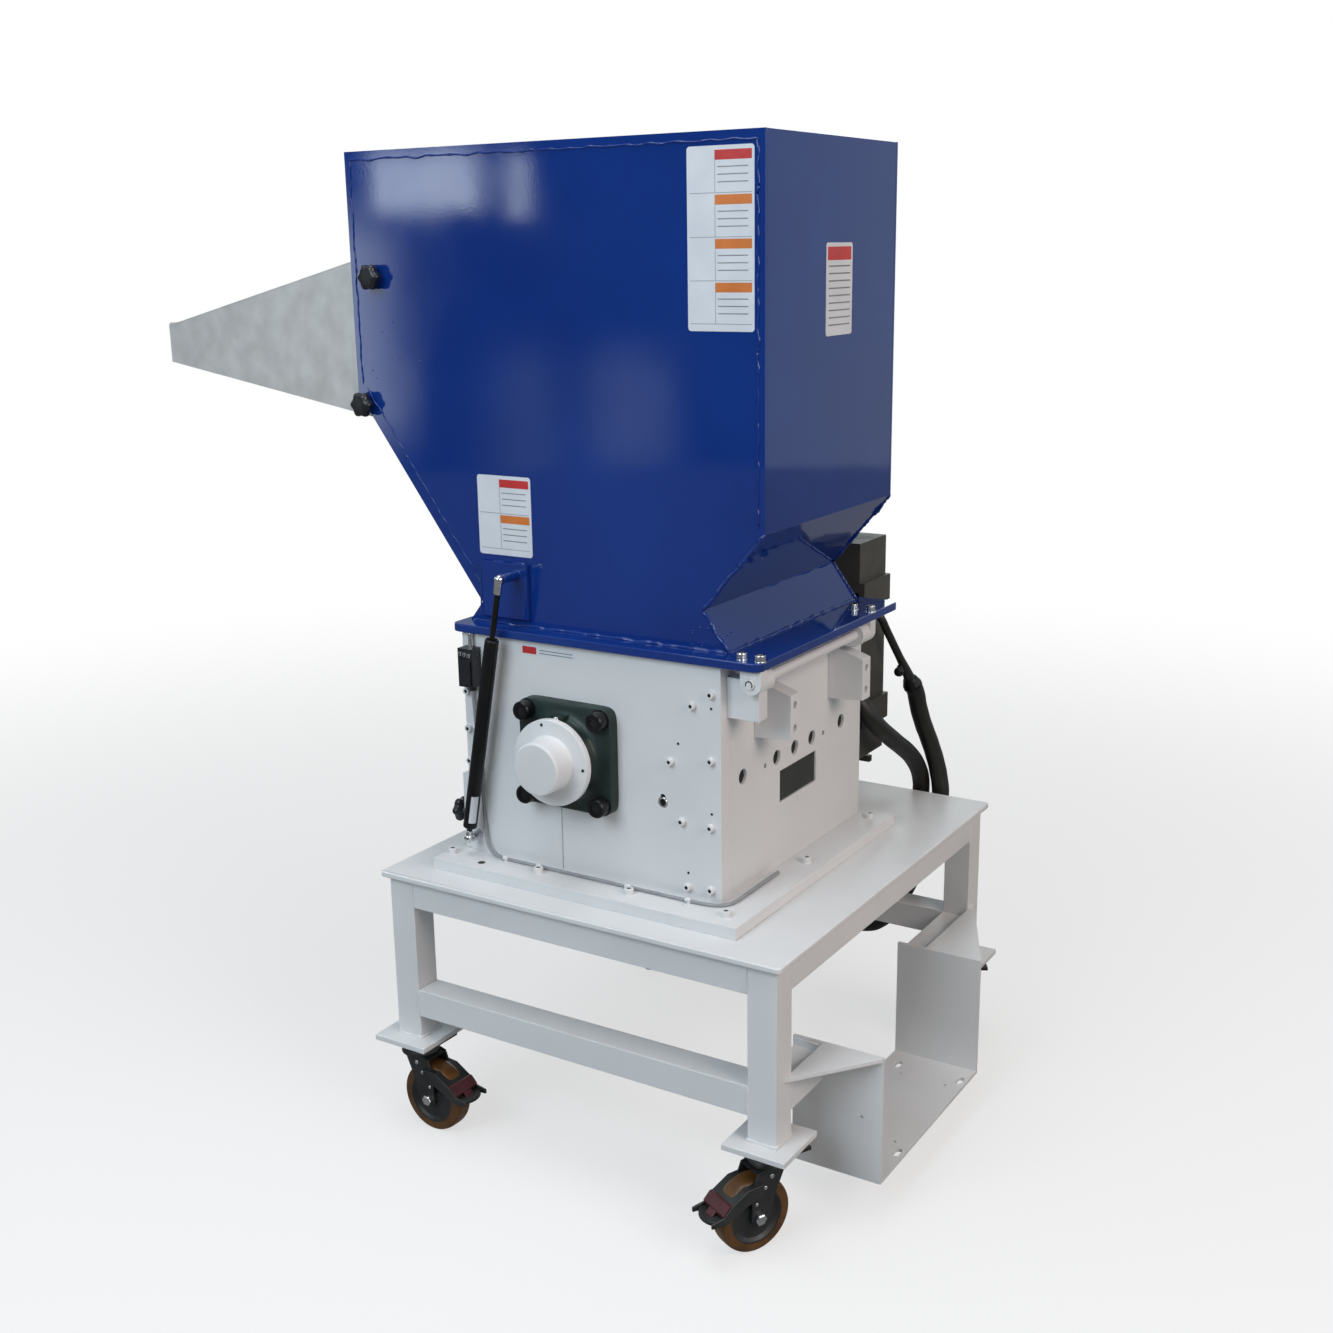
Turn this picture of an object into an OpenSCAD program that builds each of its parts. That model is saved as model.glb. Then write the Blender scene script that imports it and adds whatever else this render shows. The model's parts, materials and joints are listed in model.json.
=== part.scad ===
// Plastic granulator on a wheeled table, with a tilting hopper and a stainless feed tray.
// X runs along the rotor towards the bearing side, Y runs to the rear hinge, Z is up.

/* [Table] */
// Length of the table top along the rotor
table_len = 843; // [800:1:900]
// Depth of the table top, from front to rear
table_depth = 774; // [740:1:840]
// Height of the table's upper face over the floor
table_h = 482; // [440:1:560]
// Thickness of the table top
table_t = 10; // [8:1:14]
// How far the table's middle lies beyond the hopper's middle, on the drive side
table_shift = 48.5; // [40:0.5:56]
// Width of the square tubes
tube_w = 50; // [40:1:60]
// Wall of the square tubes
tube_wall = 3; // [2:0.5:5]
// How far the legs stand in from the table's edge
leg_inset = 12; // [5:1:16]
// Height of the lower rails' undersides
lower_rail_z = 220; // [200:1:250]
// Width of the square foot plates
foot_w = 110; // [100:1:120]
// Thickness of the foot plates
foot_t = 10; // [8:1:14]

/* [Casters] */
// Radius of the caster wheels
wheel_r = 62.5; // [55:0.5:64]
// Width of the caster wheels
wheel_w = 36; // [30:1:40]
// Height of a caster, floor to foot plate
caster_h = 168; // [166:1:180]
// Distance of the axle behind the swivel axis
caster_trail = 35; // [30:1:40]

/* [Chamber] */
// Outer width of the cutting chamber along the rotor
chamber_w = 500; // [490:1:510]
// Distance of the chamber's front face from the table's middle
chamber_front = 282; // [276:1:286]
// Distance of the chamber's rear face from the table's middle
chamber_rear = 218; // [214:1:222]
// Height of the chamber walls
chamber_h = 389; // [380:1:400]
// Thickness of the side walls
side_wall_t = 30; // [25:1:32]
// Thickness of the front and rear walls
end_wall_t = 25; // [20:1:30]
// Thickness of the base plate
base_t = 20; // [16:1:25]
// Height of the rotor's axis over the chamber's floor
rotor_h = 207.6; // [203:0.1:212]
// Distance of the rotor's axis in front of the table's middle
rotor_front = 63; // [58:1:66]

/* [Rotor] */
// Radius of the knives' cutting circle
cut_r = 150; // [140:1:155]
// Radius of the rotor shaft
shaft_r = 30; // [25:1:34]
// Gap between the cutting circle and the screen
screen_gap = 8; // [5:1:10]
// Thickness of the screen sheet
screen_t = 5; // [3:1:6]
// Radius of the screen's holes
screen_hole_r = 8; // [5:1:10]

/* [Hopper] */
// How far the hopper's side plates stand in from the chamber's sides
hopper_side_in = 26; // [23:1:30]
// Height of the hopper over its flange
hopper_h = 760; // [720:1:800]
// Distance of the hopper's front face from the table's middle
hopper_front = 504; // [490:1:520]
// Distance of the hopper's rear face from the table's middle
hopper_rear = 280; // [272:1:290]
// Thickness of the hopper's side plates
plate_t = 6; // [4:1:8]
// Thickness of the hopper's folded sheet
sheet_t = 5; // [4:1:7]
// Thickness of the hopper's flange
flange_t = 14; // [12:1:18]

/* [Feed tray] */
// Length of the feed tray in front of the hopper
tray_len = 461; // [400:1:500]
// Sheet of the feed tray
tray_t = 2; // [1.5:0.5:3]
// Height of the feed tray's front lip
tray_lip_h = 65; // [50:1:80]

/* [Bearings] */
// Width of the square bearing flange
bearing_w = 180; // [172:1:190]
// Distance between the bearing bolts
bearing_pitch = 143; // [138:1:146]
// Thickness of the bearing flange
bearing_t = 22; // [18:1:26]
// Length of a bearing housing
bearing_len = 49; // [46:1:56]

/* [Blower bracket] */
// Height of the bracket's lower face over the floor
bracket_z = 65; // [50:1:80]
// Height of the bracket
bracket_h = 220; // [200:1:226]
// Thickness of the bracket's sheet
bracket_t = 6; // [5:1:8]
// Distance between slots along the rotor
slot_pitch_x = 270; // [250:1:290]
// Distance between slots from front to rear
slot_pitch_y = 118; // [105:1:122]

/* [Gas spring] */
// Radius of the gas spring's cylinder
gas_r = 12; // [10:0.5:12.5]
// Radius of the gas spring's rod
gas_rod_r = 5; // [4:0.5:6]

/* [Hidden] */
$fn = 48;

// Clearances: between turning faces, between flat faces of moving neighbours, and the overrun of cuts
run_gap = 0.05;
side_gap = 0.3;
cut = 1;
fine_fn = 96;
half = 0.5;

// Table levels and edges
deck_z = table_h - table_t;
table_x0 = -table_shift - table_len * half;
table_x1 = -table_shift + table_len * half;
leg_x0 = table_x0 + leg_inset;
leg_x1 = table_x1 - leg_inset - tube_w;
leg_y = table_depth * half - leg_inset - tube_w;
foot_z = caster_h;
leg_h = deck_z - foot_z - foot_t;
leg_corners = [[leg_x1, -leg_y - tube_w], [leg_x1, leg_y], [leg_x0, -leg_y - tube_w], [leg_x0, leg_y]];
table_corner_r = 8;

// Chamber levels and faces
wall_x = chamber_w * half;
inner_x = wall_x - side_wall_t;
floor_z = table_h + base_t;
roof_z = floor_z + chamber_h;
rotor_z = floor_z + rotor_h;
rotor_y = -rotor_front;
inner_front = -chamber_front + end_wall_t;
inner_rear = chamber_rear - end_wall_t;
chamber_depth = chamber_front + chamber_rear;
opening_side = 30;
opening_x = inner_x - opening_side;
opening_front = cut_r + rotor_front;
opening_depth = 2 * cut_r;
base_side = 20;
base_near = 67;
base_front_edge = 32;
base_rear_edge = 63;
base_x0 = -wall_x - base_side;
base_y0 = -chamber_front - base_front_edge;
base_w = chamber_w + base_side + base_near;
base_depth = chamber_depth + base_front_edge + base_rear_edge;
door_h = 134;
door_t = 14;
door_gap = 1.5;
door_z = floor_z + door_gap;
window_x0 = -75;
window_w = 132;
window_h = 55;
window_up = 112;
window_z = floor_z + window_up;
port_r = 12.5;
port_drop = 14;
port_z = rotor_z - port_drop;
port_shares = [-0.342, -0.118, 0.008, 0.134, 0.362];

// Hopper outline, as heights over the flange's upper face
seat_z = roof_z + side_gap;
flange_z = seat_z + flange_t;
flange_near = 12;
flange_far = -5;
flange_front = 14;
flange_rear = 73;
flange_corner_r = 16;
hopper_x = wall_x - hopper_side_in;
hopper_in = hopper_x - plate_t;
hopper_top = flange_z + hopper_h;
front_neck_h = 32.5;
front_neck_in = 26;
front_kink_h = 370;
rear_neck_h = 63;
rear_neck_in = 46;
rear_kink_h = 188;
hopper_front_line = [
    [-chamber_front, flange_z], [-chamber_front + front_neck_in, flange_z + front_neck_h],
    [-hopper_front, flange_z + front_kink_h], [-hopper_front, hopper_top]
];
hopper_rear_line = [
    [chamber_rear, flange_z], [chamber_rear - rear_neck_in, flange_z + rear_neck_h],
    [hopper_rear, flange_z + rear_kink_h], [hopper_rear, hopper_top]
];

// Feed tray, as heights over the flange's upper face
mouth_low = 328;
mouth_high = 590;
tray_x = hopper_in - side_gap;
tray_tip_y = -hopper_front - tray_len;
tray_inner = 74;
tray_foot_in = 34;
tray_top = flange_z + mouth_high - tray_t - side_gap;
tray_floor = flange_z + mouth_low + side_gap;
tray_tip_h = 411;
tray_tip_z = flange_z + tray_tip_h;
tray_hem_r = 6;
knob_r = 17;
knob_lobe_r = 5;
knob_lobes = 6;
knob_t = 18;
knob_boss = 6;
stud_r = 5;
knob_upper_in = 52;
knob_upper_h = 561;
knob_lower_in = 19;
knob_lower_h = 352;
knob_upper = [-hopper_front + knob_upper_in, flange_z + knob_upper_h];
knob_lower = [-hopper_front + knob_lower_in, flange_z + knob_lower_h];

// Hinge at the rear of the chamber
hinge_out = 52;
hinge_drop = 21;
hinge_y = chamber_rear + hinge_out;
hinge_z = roof_z - hinge_drop;
hinge_r = 18;
hinge_pin_r = 8;
block_in = 4;
near_block_in = 46;
near_block_x = wall_x - near_block_in;
near_block_w = 27;
far_block_in = 114;
far_block_x = -wall_x + far_block_in;
far_block_w = 28;
knuckle_w = 20;
near_block_h = 64;
far_block_h = 20;

// Gas spring: places of its two ball studs, and the X of its axis
gas_clear = 4;
gas_x = wall_x + flange_near + gas_r + gas_clear;
gas_foot_front = 202;
gas_foot_up = 31;
gas_foot_y = rotor_y - gas_foot_front;
gas_foot_z = floor_z + gas_foot_up;
gas_top_front = 114;
gas_top_up = 87;
gas_top_y = rotor_y - gas_top_front;
gas_top_z = flange_z + gas_top_up;
gas_dy = gas_top_y - gas_foot_y;
gas_dz = gas_top_z - gas_foot_z;
gas_len = sqrt(gas_dy * gas_dy + gas_dz * gas_dz);
gas_lean = atan2(gas_dy, gas_dz);
gas_body_len = 350;
gas_body_start = 15;
gas_end_over = 1;
gas_end_t = 2 * gas_rod_r + gas_end_over;
gas_eye_r = 8;
gas_stud_r = 4;

// Drive
gear_gap = 4;
gear_x = -wall_x - bearing_len - gear_gap;
gear_w = 112;
gear_top_up = 278;
gear_top = rotor_z + gear_top_up;
gear_rear = 188;
motor_r = 88;

// Middle of the whole part, which is the origin on the floor
pedal_reach = 125;
pedal_half_w = 30;
near_turn = -27;
near_rear_x = leg_x1 + tube_w * half;
reach_near = near_rear_x + pedal_reach * cos(near_turn) - pedal_half_w * sin(near_turn);
conduit_r = 17;
conduit_out = 29;
conduit_x = table_x0 - conduit_out;
reach_far = conduit_x - conduit_r;
bracket_lap = 3;
bracket_y0 = leg_y - bracket_lap;
bracket_depth = 157;
bracket_y1 = bracket_y0 + bracket_depth;
mid_x = (reach_near + reach_far) * half;
mid_y = (tray_tip_y + bracket_y1) * half;

// Moves the machine from its table's middle to the part's origin
module placed() {
    translate([-mid_x, -mid_y, 0]) children();
}

// Extrudes an outline drawn in Y and Z along X
module along_x(x0, len) {
    translate([x0, 0, 0]) rotate([90, 0, 90]) linear_extrude(len) children();
}

// Cylinder along X, starting at a point
module rod_x(at, r, len, fn = $fn) {
    translate(at) rotate([0, 90, 0]) cylinder(r = r, h = len, $fn = fn);
}

// Cylinder along Y, starting at a point
module rod_y(at, r, len) {
    translate(at) rotate([-90, 0, 0]) cylinder(r = r, h = len);
}

// Rectangle with round corners, from its low corner
module round_rect(size, r) {
    translate([r, 0]) square([size[0] - 2 * r, size[1]]);
    translate([0, r]) square([size[0], size[1] - 2 * r]);
    for (x = [r, size[0] - r], y = [r, size[1] - r]) translate([x, y]) circle(r);
}

// Square tube from a low corner, along X, Y or Z
module tube(at, len, axis) {
    size = [for (i = [0:2]) i == axis ? len : tube_w];
    wall = [for (i = [0:2]) i == axis ? -cut : tube_wall];
    translate(at) difference() {
        cube(size);
        translate(wall) cube(size - 2 * wall);
    }
}

// Socket head cap screw along Z, its head's seat at zero
module cap_screw(r, shank) {
    head_share = 1.6;
    socket_share = 0.85;
    difference() {
        cylinder(r = r * head_share, h = 2 * r);
        translate([0, 0, r]) cylinder(r = r * socket_share, h = 2 * r, $fn = 6);
    }
    if (shank > 0) translate([0, 0, -shank]) cylinder(r = r, h = shank);
}

module table_top() {
    color("gainsboro") placed() difference() {
        translate([table_x0, -table_depth * half, deck_z]) linear_extrude(table_t)
            round_rect([table_len, table_depth], table_corner_r);
        translate([-opening_x, -opening_front, deck_z - cut])
            cube([2 * opening_x, opening_depth, table_t + 2 * cut]);
    }
}

module table_legs() {
    color("gainsboro") placed() for (c = leg_corners) {
        tube([c[0], c[1], foot_z + foot_t], leg_h, 2);
        translate([c[0] + (tube_w - foot_w) * half, c[1] + (tube_w - foot_w) * half, foot_z])
            cube([foot_w, foot_w, foot_t]);
    }
}

module upper_rails() {
    span_x = leg_x1 - leg_x0 - tube_w;
    color("gainsboro") placed() {
        for (y = [-leg_y - tube_w, leg_y]) tube([leg_x0 + tube_w, y, deck_z - tube_w], span_x, 0);
        for (x = [leg_x0, leg_x1]) tube([x, -leg_y, deck_z - tube_w], 2 * leg_y, 1);
    }
}

module lower_rails() {
    color("gainsboro") placed() {
        for (x = [leg_x0, leg_x1]) tube([x, -leg_y, lower_rail_z], 2 * leg_y, 1);
        tube([leg_x0 + tube_w, leg_y, lower_rail_z], bracket_x0 - leg_x0 - tube_w, 0);
        tube([bracket_x1, leg_y, lower_rail_z], leg_x1 - bracket_x1, 0);
    }
}

// U-shaped sheet bracket at the rear, with gussets out to the legs
bracket_x0 = -209;
bracket_x1 = 205;
slot_r = 5.5;
slot_len = 24;
slot_mid_x = -22;
slot_mid_in = 86;
slot_mid_y = bracket_y0 + slot_mid_in;
pilot_r = 3;
pilot_in = 28;
pilot_in_y = 17;
gusset_y = 30;

module slot_hole(at) {
    for (x = [-1, 1]) translate(at + [x * (slot_len * half - slot_r), 0, 0])
        cylinder(r = slot_r, h = bracket_t + 2 * cut);
    translate(at + [slot_r - slot_len * half, -slot_r, 0])
        cube([slot_len - 2 * slot_r, 2 * slot_r, bracket_t + 2 * cut]);
}

module blower_bracket() {
    top_z = bracket_z + bracket_h;
    color("lightgray") placed() {
        difference() {
            translate([bracket_x0, bracket_y0, bracket_z])
                cube([bracket_x1 - bracket_x0, bracket_depth, bracket_h]);
            translate([bracket_x0 + bracket_t, bracket_y0 - cut, bracket_z + bracket_t])
                cube([bracket_x1 - bracket_x0 - 2 * bracket_t, bracket_depth + 2 * cut, bracket_h]);
            for (x = [-half, half], y = [-half, half]) {
                slot_hole([slot_mid_x + x * slot_pitch_x, slot_mid_y + y * slot_pitch_y,
                    bracket_z - cut]);
                translate([slot_mid_x + x * (slot_pitch_x - 2 * pilot_in),
                    slot_mid_y + y * (slot_pitch_y - 2 * pilot_in_y), bracket_z - cut])
                    cylinder(r = pilot_r, h = bracket_t + 2 * cut);
            }
            rod_x([bracket_x1 - bracket_t - cut, bracket_y1 - 2 * pilot_in_y, bracket_z + bracket_h * half],
                pilot_r, bracket_t + 2 * cut);
        }
        translate([0, 0, top_z - bracket_t]) linear_extrude(bracket_t) {
            polygon([[bracket_x1, leg_y + tube_w], [leg_x1, leg_y + tube_w],
                [leg_x1 + gusset_y, leg_y + tube_w], [bracket_x1, bracket_y1]]);
            polygon([[bracket_x0, leg_y + tube_w], [leg_x0 + tube_w, leg_y + tube_w],
                [leg_x0 + tube_w - gusset_y, leg_y + tube_w], [bracket_x0, bracket_y1]]);
        }
    }
}

// Casters, drawn about their swivel axis with the trail along X
caster_turns = [88, near_turn, 30, -60];
plate_len = 100;
plate_w = 84;
caster_plate_t = 6;
race_r = 33;
race_h = 12;
king_r = 8;
crown_h = 10;
fork_t = 4;
fork_gap = 3;
axle_r = 6;
hub_r = 46;
fork_foot_r = 14;
fork_x = wheel_w * half + fork_gap;
race_z = caster_h - caster_plate_t - race_h;
crown_z = race_z - side_gap - crown_h;
tread_round = 6;
pedal_x = 36;
pedal_pin_up = 50;
pedal_z = wheel_r + pedal_pin_up;
pedal_arm = 4;
pedal_pin_r = 4;
pedal_plate_len = 18;
pedal_plate_up = 12;
pedal_plate_z = wheel_r + pedal_plate_up;
pedal_plate_t = 10;

module at_caster(i) {
    placed() translate([leg_corners[i][0] + tube_w * half, leg_corners[i][1] + tube_w * half, 0])
        rotate([0, 0, caster_turns[i]]) children();
}

module caster_plates() {
    color("dimgray") for (i = [0:3]) at_caster(i) difference() {
        union() {
            translate([-plate_len * half, -plate_w * half, caster_h - caster_plate_t])
                cube([plate_len, plate_w, caster_plate_t]);
            translate([0, 0, race_z]) cylinder(r = race_r, h = race_h);
        }
        translate([0, 0, race_z - cut]) cylinder(r = king_r + run_gap, h = race_h + caster_plate_t);
    }
}

module caster_fork(i) {
    color("dimgray") at_caster(i) {
        translate([0, 0, crown_z]) cylinder(r = race_r, h = crown_h);
        translate([0, 0, crown_z]) cylinder(r = king_r, h = caster_h - caster_plate_t - crown_z);
        for (side = [0, 1]) mirror([0, side, 0]) difference() {
            translate([0, fork_x + fork_t, 0]) rotate([90, 0, 0]) linear_extrude(fork_t) hull() {
                translate([caster_trail, wheel_r]) circle(fork_foot_r, $fn = 32);
                translate([-fork_foot_r, crown_z]) square([caster_trail + 2 * fork_foot_r, crown_h]);
            }
            rod_y([caster_trail, fork_x - cut, wheel_r], axle_r, fork_t + 2 * cut);
            if (i < 2) rod_y([pedal_x, fork_x - cut, pedal_z], pedal_pin_r + run_gap, fork_t + 2 * cut);
        }
        rod_y([caster_trail, -fork_x - fork_t, wheel_r], axle_r, 2 * (fork_x + fork_t));
    }
}

module caster_wheel(i) {
    color("saddlebrown") at_caster(i) translate([caster_trail, 0, wheel_r]) rotate([90, 0, 0]) {
        difference() {
            cylinder(r = hub_r, h = wheel_w, center = true);
            cylinder(r = axle_r + run_gap, h = wheel_w + 2 * cut, center = true);
        }
        rotate_extrude($fn = fine_fn) polygon([
            [hub_r, -wheel_w * half], [wheel_r - tread_round, -wheel_w * half],
            [wheel_r, -wheel_w * half + tread_round], [wheel_r, wheel_w * half - tread_round],
            [wheel_r - tread_round, wheel_w * half], [hub_r, wheel_w * half]
        ]);
    }
}

module caster_pedal(i) {
    arm_y = fork_x + fork_t + side_gap;
    color("maroon") at_caster(i) {
        for (side = [0, 1]) mirror([0, side, 0]) {
            translate([0, arm_y + pedal_arm, 0]) rotate([90, 0, 0]) linear_extrude(pedal_arm) hull() {
                translate([pedal_x, pedal_z]) circle(2 * pedal_pin_r, $fn = 32);
                translate([pedal_reach - pedal_plate_len, pedal_plate_z])
                    square([pedal_plate_len, pedal_plate_t]);
            }
            rod_y([pedal_x, fork_x, pedal_z], pedal_pin_r, fork_t + side_gap + pedal_arm);
        }
        translate([pedal_reach - pedal_plate_len, -pedal_half_w, pedal_plate_z])
            cube([pedal_plate_len, 2 * pedal_half_w, pedal_plate_t]);
    }
}

module fork_front_near() { caster_fork(0); }
module fork_rear_near() { caster_fork(1); }
module fork_front_far() { caster_fork(2); }
module fork_rear_far() { caster_fork(3); }
module wheel_front_near() { caster_wheel(0); }
module wheel_rear_near() { caster_wheel(1); }
module wheel_front_far() { caster_wheel(2); }
module wheel_rear_far() { caster_wheel(3); }
module pedal_front_near() { caster_pedal(0); }
module pedal_rear_near() { caster_pedal(1); }

module base_plate() {
    color("gainsboro") placed() difference() {
        translate([base_x0, base_y0, table_h])
            cube([base_w, base_depth, base_t]);
        translate([-opening_x, -opening_front, table_h - cut])
            cube([2 * opening_x, opening_depth, base_t + 2 * cut]);
    }
}

// Keyhole slot in the near wall, for a tool's hook
key_rear = 174;
key_up = 153;
key_y = rotor_y + key_rear;
key_z = floor_z + key_up;
key_r = 9;
key_slot_r = 5;
key_depth = 12;

module side_wall(x) {
    difference() {
        translate([x, -chamber_front, floor_z])
            cube([side_wall_t, chamber_depth, chamber_h]);
        rod_x([x - cut, rotor_y, rotor_z], shaft_r + side_gap, side_wall_t + 2 * cut);
    }
}

module near_wall() {
    color("gainsboro") placed() difference() {
        side_wall(inner_x);
        rod_x([wall_x - key_depth, key_y, key_z], key_r, key_depth + cut);
        rod_x([wall_x - key_depth, key_y, key_z + key_r], key_slot_r, key_depth + cut);
        rod_x([inner_x + half * side_wall_t, gas_foot_y, gas_foot_z], gas_stud_r, side_wall_t);
    }
}

module far_wall() {
    color("gainsboro") placed() side_wall(-wall_x);
}

module rear_wall() {
    color("gainsboro") placed() difference() {
        translate([-inner_x, inner_rear, floor_z]) cube([2 * inner_x, end_wall_t, chamber_h]);
        translate([window_x0, inner_rear - cut, window_z])
            cube([window_w, end_wall_t + 2 * cut, window_h]);
        for (share = port_shares)
            rod_y([share * chamber_w, inner_rear - cut, port_z], port_r, end_wall_t + 2 * cut);
    }
}

module front_wall() {
    color("gainsboro") placed()
        translate([-inner_x, -chamber_front, door_z + door_h + door_gap])
            cube([2 * inner_x, end_wall_t, roof_z - door_z - door_h - door_gap]);
}

// Screen door in front of the walls, hung on a pin at the far side
door_far_in = 6;
door_near_in = 2;
door_x0 = -wall_x + door_far_in;
door_w = chamber_w - door_far_in - door_near_in;
door_y = -chamber_front - side_gap - door_t;
door_pin_r = 5;
door_eye_r = 10;
door_axis_out = 8;
door_axis_x = -wall_x - door_axis_out;
door_axis_y = -chamber_front - door_axis_out;
door_eye_h = 28;
door_eye_in = 6;
door_knob_in = 14;
door_knob_up = 64;
door_knob_x = wall_x - door_knob_in;
door_knob_z = floor_z + door_knob_up;
door_eyes = [door_z + door_eye_in, door_z + door_h - door_eye_in - door_eye_h];
door_ear_h = 12;
door_ear_len = 20;

module screen_door() {
    color("gainsboro") placed() difference() {
        union() {
            translate([door_x0, door_y, door_z]) cube([door_w, door_t, door_h]);
            for (z = door_eyes) {
                translate([door_axis_x, door_axis_y, z]) cylinder(r = door_eye_r, h = door_eye_h);
                translate([door_axis_x, door_axis_y - door_eye_r * half, z])
                    cube([door_x0 - door_axis_x + cut, door_eye_r, door_eye_h]);
            }
        }
        translate([door_axis_x, door_axis_y, door_z]) cylinder(r = door_pin_r + run_gap, h = door_h);
        rod_y([door_knob_x, door_y - cut, door_knob_z], stud_r + run_gap, door_t + 2 * cut);
    }
}

module door_pin() {
    ears = [door_eyes[0] + door_eye_h + side_gap, door_eyes[1] - side_gap - door_ear_h];
    color("silver") placed() {
        translate([door_axis_x, door_axis_y, door_eyes[0]])
            cylinder(r = door_pin_r, h = door_eyes[1] + door_eye_h - door_eyes[0]);
        for (z = ears) {
            translate([door_axis_x, door_axis_y, z]) cylinder(r = door_eye_r, h = door_ear_h);
            translate([door_axis_x - door_eye_r, door_axis_y, z])
                cube([-wall_x - door_axis_x + door_eye_r, door_ear_len, door_ear_h]);
        }
    }
}

// Star knob along Z: its stud points down, its boss rests at zero
module star_knob(stud) {
    translate([0, 0, -stud]) cylinder(r = stud_r, h = stud);
    cylinder(r = 2 * stud_r, h = knob_boss);
    translate([0, 0, knob_boss]) {
        cylinder(r = knob_r, h = knob_t);
        for (i = [0:knob_lobes - 1]) rotate([0, 0, i * 360 / knob_lobes])
            translate([knob_r, 0, 0]) cylinder(r = knob_lobe_r, h = knob_t, $fn = 24);
    }
}

module door_knob() {
    color("black") placed() translate([door_knob_x, door_y - side_gap, door_knob_z])
        rotate([90, 0, 0]) star_knob(door_t);
}

// Bed knives beside the rotor, on the front and rear walls
bed_w = 60;
bed_t = 24;
bed_clear = 0.8;
bed_z = rotor_z - bed_t * half;

module bed_knives() {
    color("silver") placed() {
        translate([-inner_x, inner_front, bed_z])
            cube([2 * inner_x, rotor_y - cut_r - bed_clear - inner_front, bed_t]);
        translate([-inner_x, rotor_y + cut_r + bed_clear, bed_z])
            cube([2 * inner_x, inner_rear - rotor_y - cut_r - bed_clear, bed_t]);
    }
}

// Screen below the rotor: part of a ring, with rows of round holes
screen_r = cut_r + screen_gap;
screen_columns = 9;
screen_rows = 5;
screen_step = 24;
screen_pitch = 44;

module lower_ring(x0, len, r0, r1) {
    difference() {
        rod_x([x0, rotor_y, rotor_z], r1, len, fine_fn);
        rod_x([x0 - cut, rotor_y, rotor_z], r0, len + 2 * cut, fine_fn);
        translate([x0 - cut, rotor_y - 2 * r1, bed_z - side_gap - bed_t])
            cube([len + 2 * cut, 4 * r1, 4 * r1]);
    }
}

module screen() {
    color("dimgray") placed() difference() {
        lower_ring(-inner_x, 2 * inner_x, screen_r, screen_r + screen_t);
        for (i = [0:screen_columns - 1], j = [0:screen_rows - 1])
            translate([(i - (screen_columns - 1) * half) * screen_pitch, rotor_y, rotor_z])
                rotate([(j - (screen_rows - 1) * half) * screen_step, 0, 0])
                    translate([0, 0, -screen_r - 2 * screen_t])
                        cylinder(r = screen_hole_r, h = 4 * screen_t, $fn = 24);
    }
}

rib_t = 12;
rib_h = 16;

module screen_cradle() {
    ribs = [-inner_x, -rib_t * half, inner_x - rib_t];
    color("gray") placed() for (x = ribs)
        lower_ring(x, rib_t, screen_r + screen_t + side_gap, screen_r + screen_t + side_gap + rib_h);
}

// Rotor: shaft through both walls and the gear unit, three-step body and its knives
rotor_side_gap = 5;
rotor_w = 2 * (inner_x - rotor_side_gap);
rotor_r = 118;
knife_t = 14;
knife_h = 60;
knife_count = 3;
shaft_near_out = 26;
shaft_far_out = 10;
shaft_near = wall_x + bearing_len + shaft_near_out;
shaft_far = gear_x - gear_w - shaft_far_out;
race_in = 8;
race_out_r = 46;
race_w = 40;

module rotor_shaft() {
    color("silver") placed() {
        rod_x([shaft_far, rotor_y, rotor_z], shaft_r, shaft_near - shaft_far);
        for (x = [wall_x + race_in, -wall_x - race_in - race_w]) difference() {
            rod_x([x, rotor_y, rotor_z], race_out_r, race_w);
            rod_x([x - cut, rotor_y, rotor_z], shaft_r, race_w + 2 * cut);
        }
    }
}

module rotor() {
    color("dimgray") placed() difference() {
        rod_x([-rotor_w * half, rotor_y, rotor_z], rotor_r, rotor_w);
        rod_x([-rotor_w * half - cut, rotor_y, rotor_z], shaft_r, rotor_w + 2 * cut);
        for (i = [0:knife_count - 1]) translate([0, rotor_y, rotor_z]) rotate([i * 360 / knife_count, 0, 0])
            translate([-rotor_w * half - cut, cut_r - knife_h, -knife_t * half])
                cube([rotor_w + 2 * cut, knife_h, rotor_r]);
    }
}

module rotor_knives() {
    color("silver") placed() for (i = [0:knife_count - 1]) translate([0, rotor_y, rotor_z])
        rotate([i * 360 / knife_count, 0, 0]) {
            translate([-rotor_w * half, cut_r - knife_h, -knife_t * half])
                cube([rotor_w, knife_h, knife_t]);
        }
}

// Flanged bearing units on both walls
boss_r = 66;
bolt_r = 10;
grease_r = 5;
grease_h = 16;

module bearing_housings() {
    color("darkslategray") placed() for (side = [0, 1]) mirror([side, 0, 0]) difference() {
        union() {
            translate([wall_x, rotor_y - bearing_w * half, rotor_z - bearing_w * half])
                cube([bearing_t, bearing_w, bearing_w]);
            rod_x([wall_x, rotor_y, rotor_z], boss_r, bearing_len, fine_fn);
            translate([wall_x + bearing_len * half, rotor_y, rotor_z + boss_r - cut])
                cylinder(r = grease_r, h = grease_h);
        }
        rod_x([wall_x - cut, rotor_y, rotor_z], race_out_r + run_gap, bearing_len + 2 * cut, fine_fn);
        for (y = [-half, half], z = [-half, half])
            rod_x([wall_x - cut, rotor_y + y * bearing_pitch, rotor_z + z * bearing_pitch], bolt_r,
                bearing_t + 2 * cut);
    }
}

module bearing_bolts() {
    color("black") placed() for (side = [0, 1], y = [-half, half], z = [-half, half]) mirror([side, 0, 0])
        translate([wall_x + bearing_t, rotor_y + y * bearing_pitch, rotor_z + z * bearing_pitch])
            rotate([0, 90, 0]) cap_screw(bolt_r, bearing_t);
}

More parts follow.
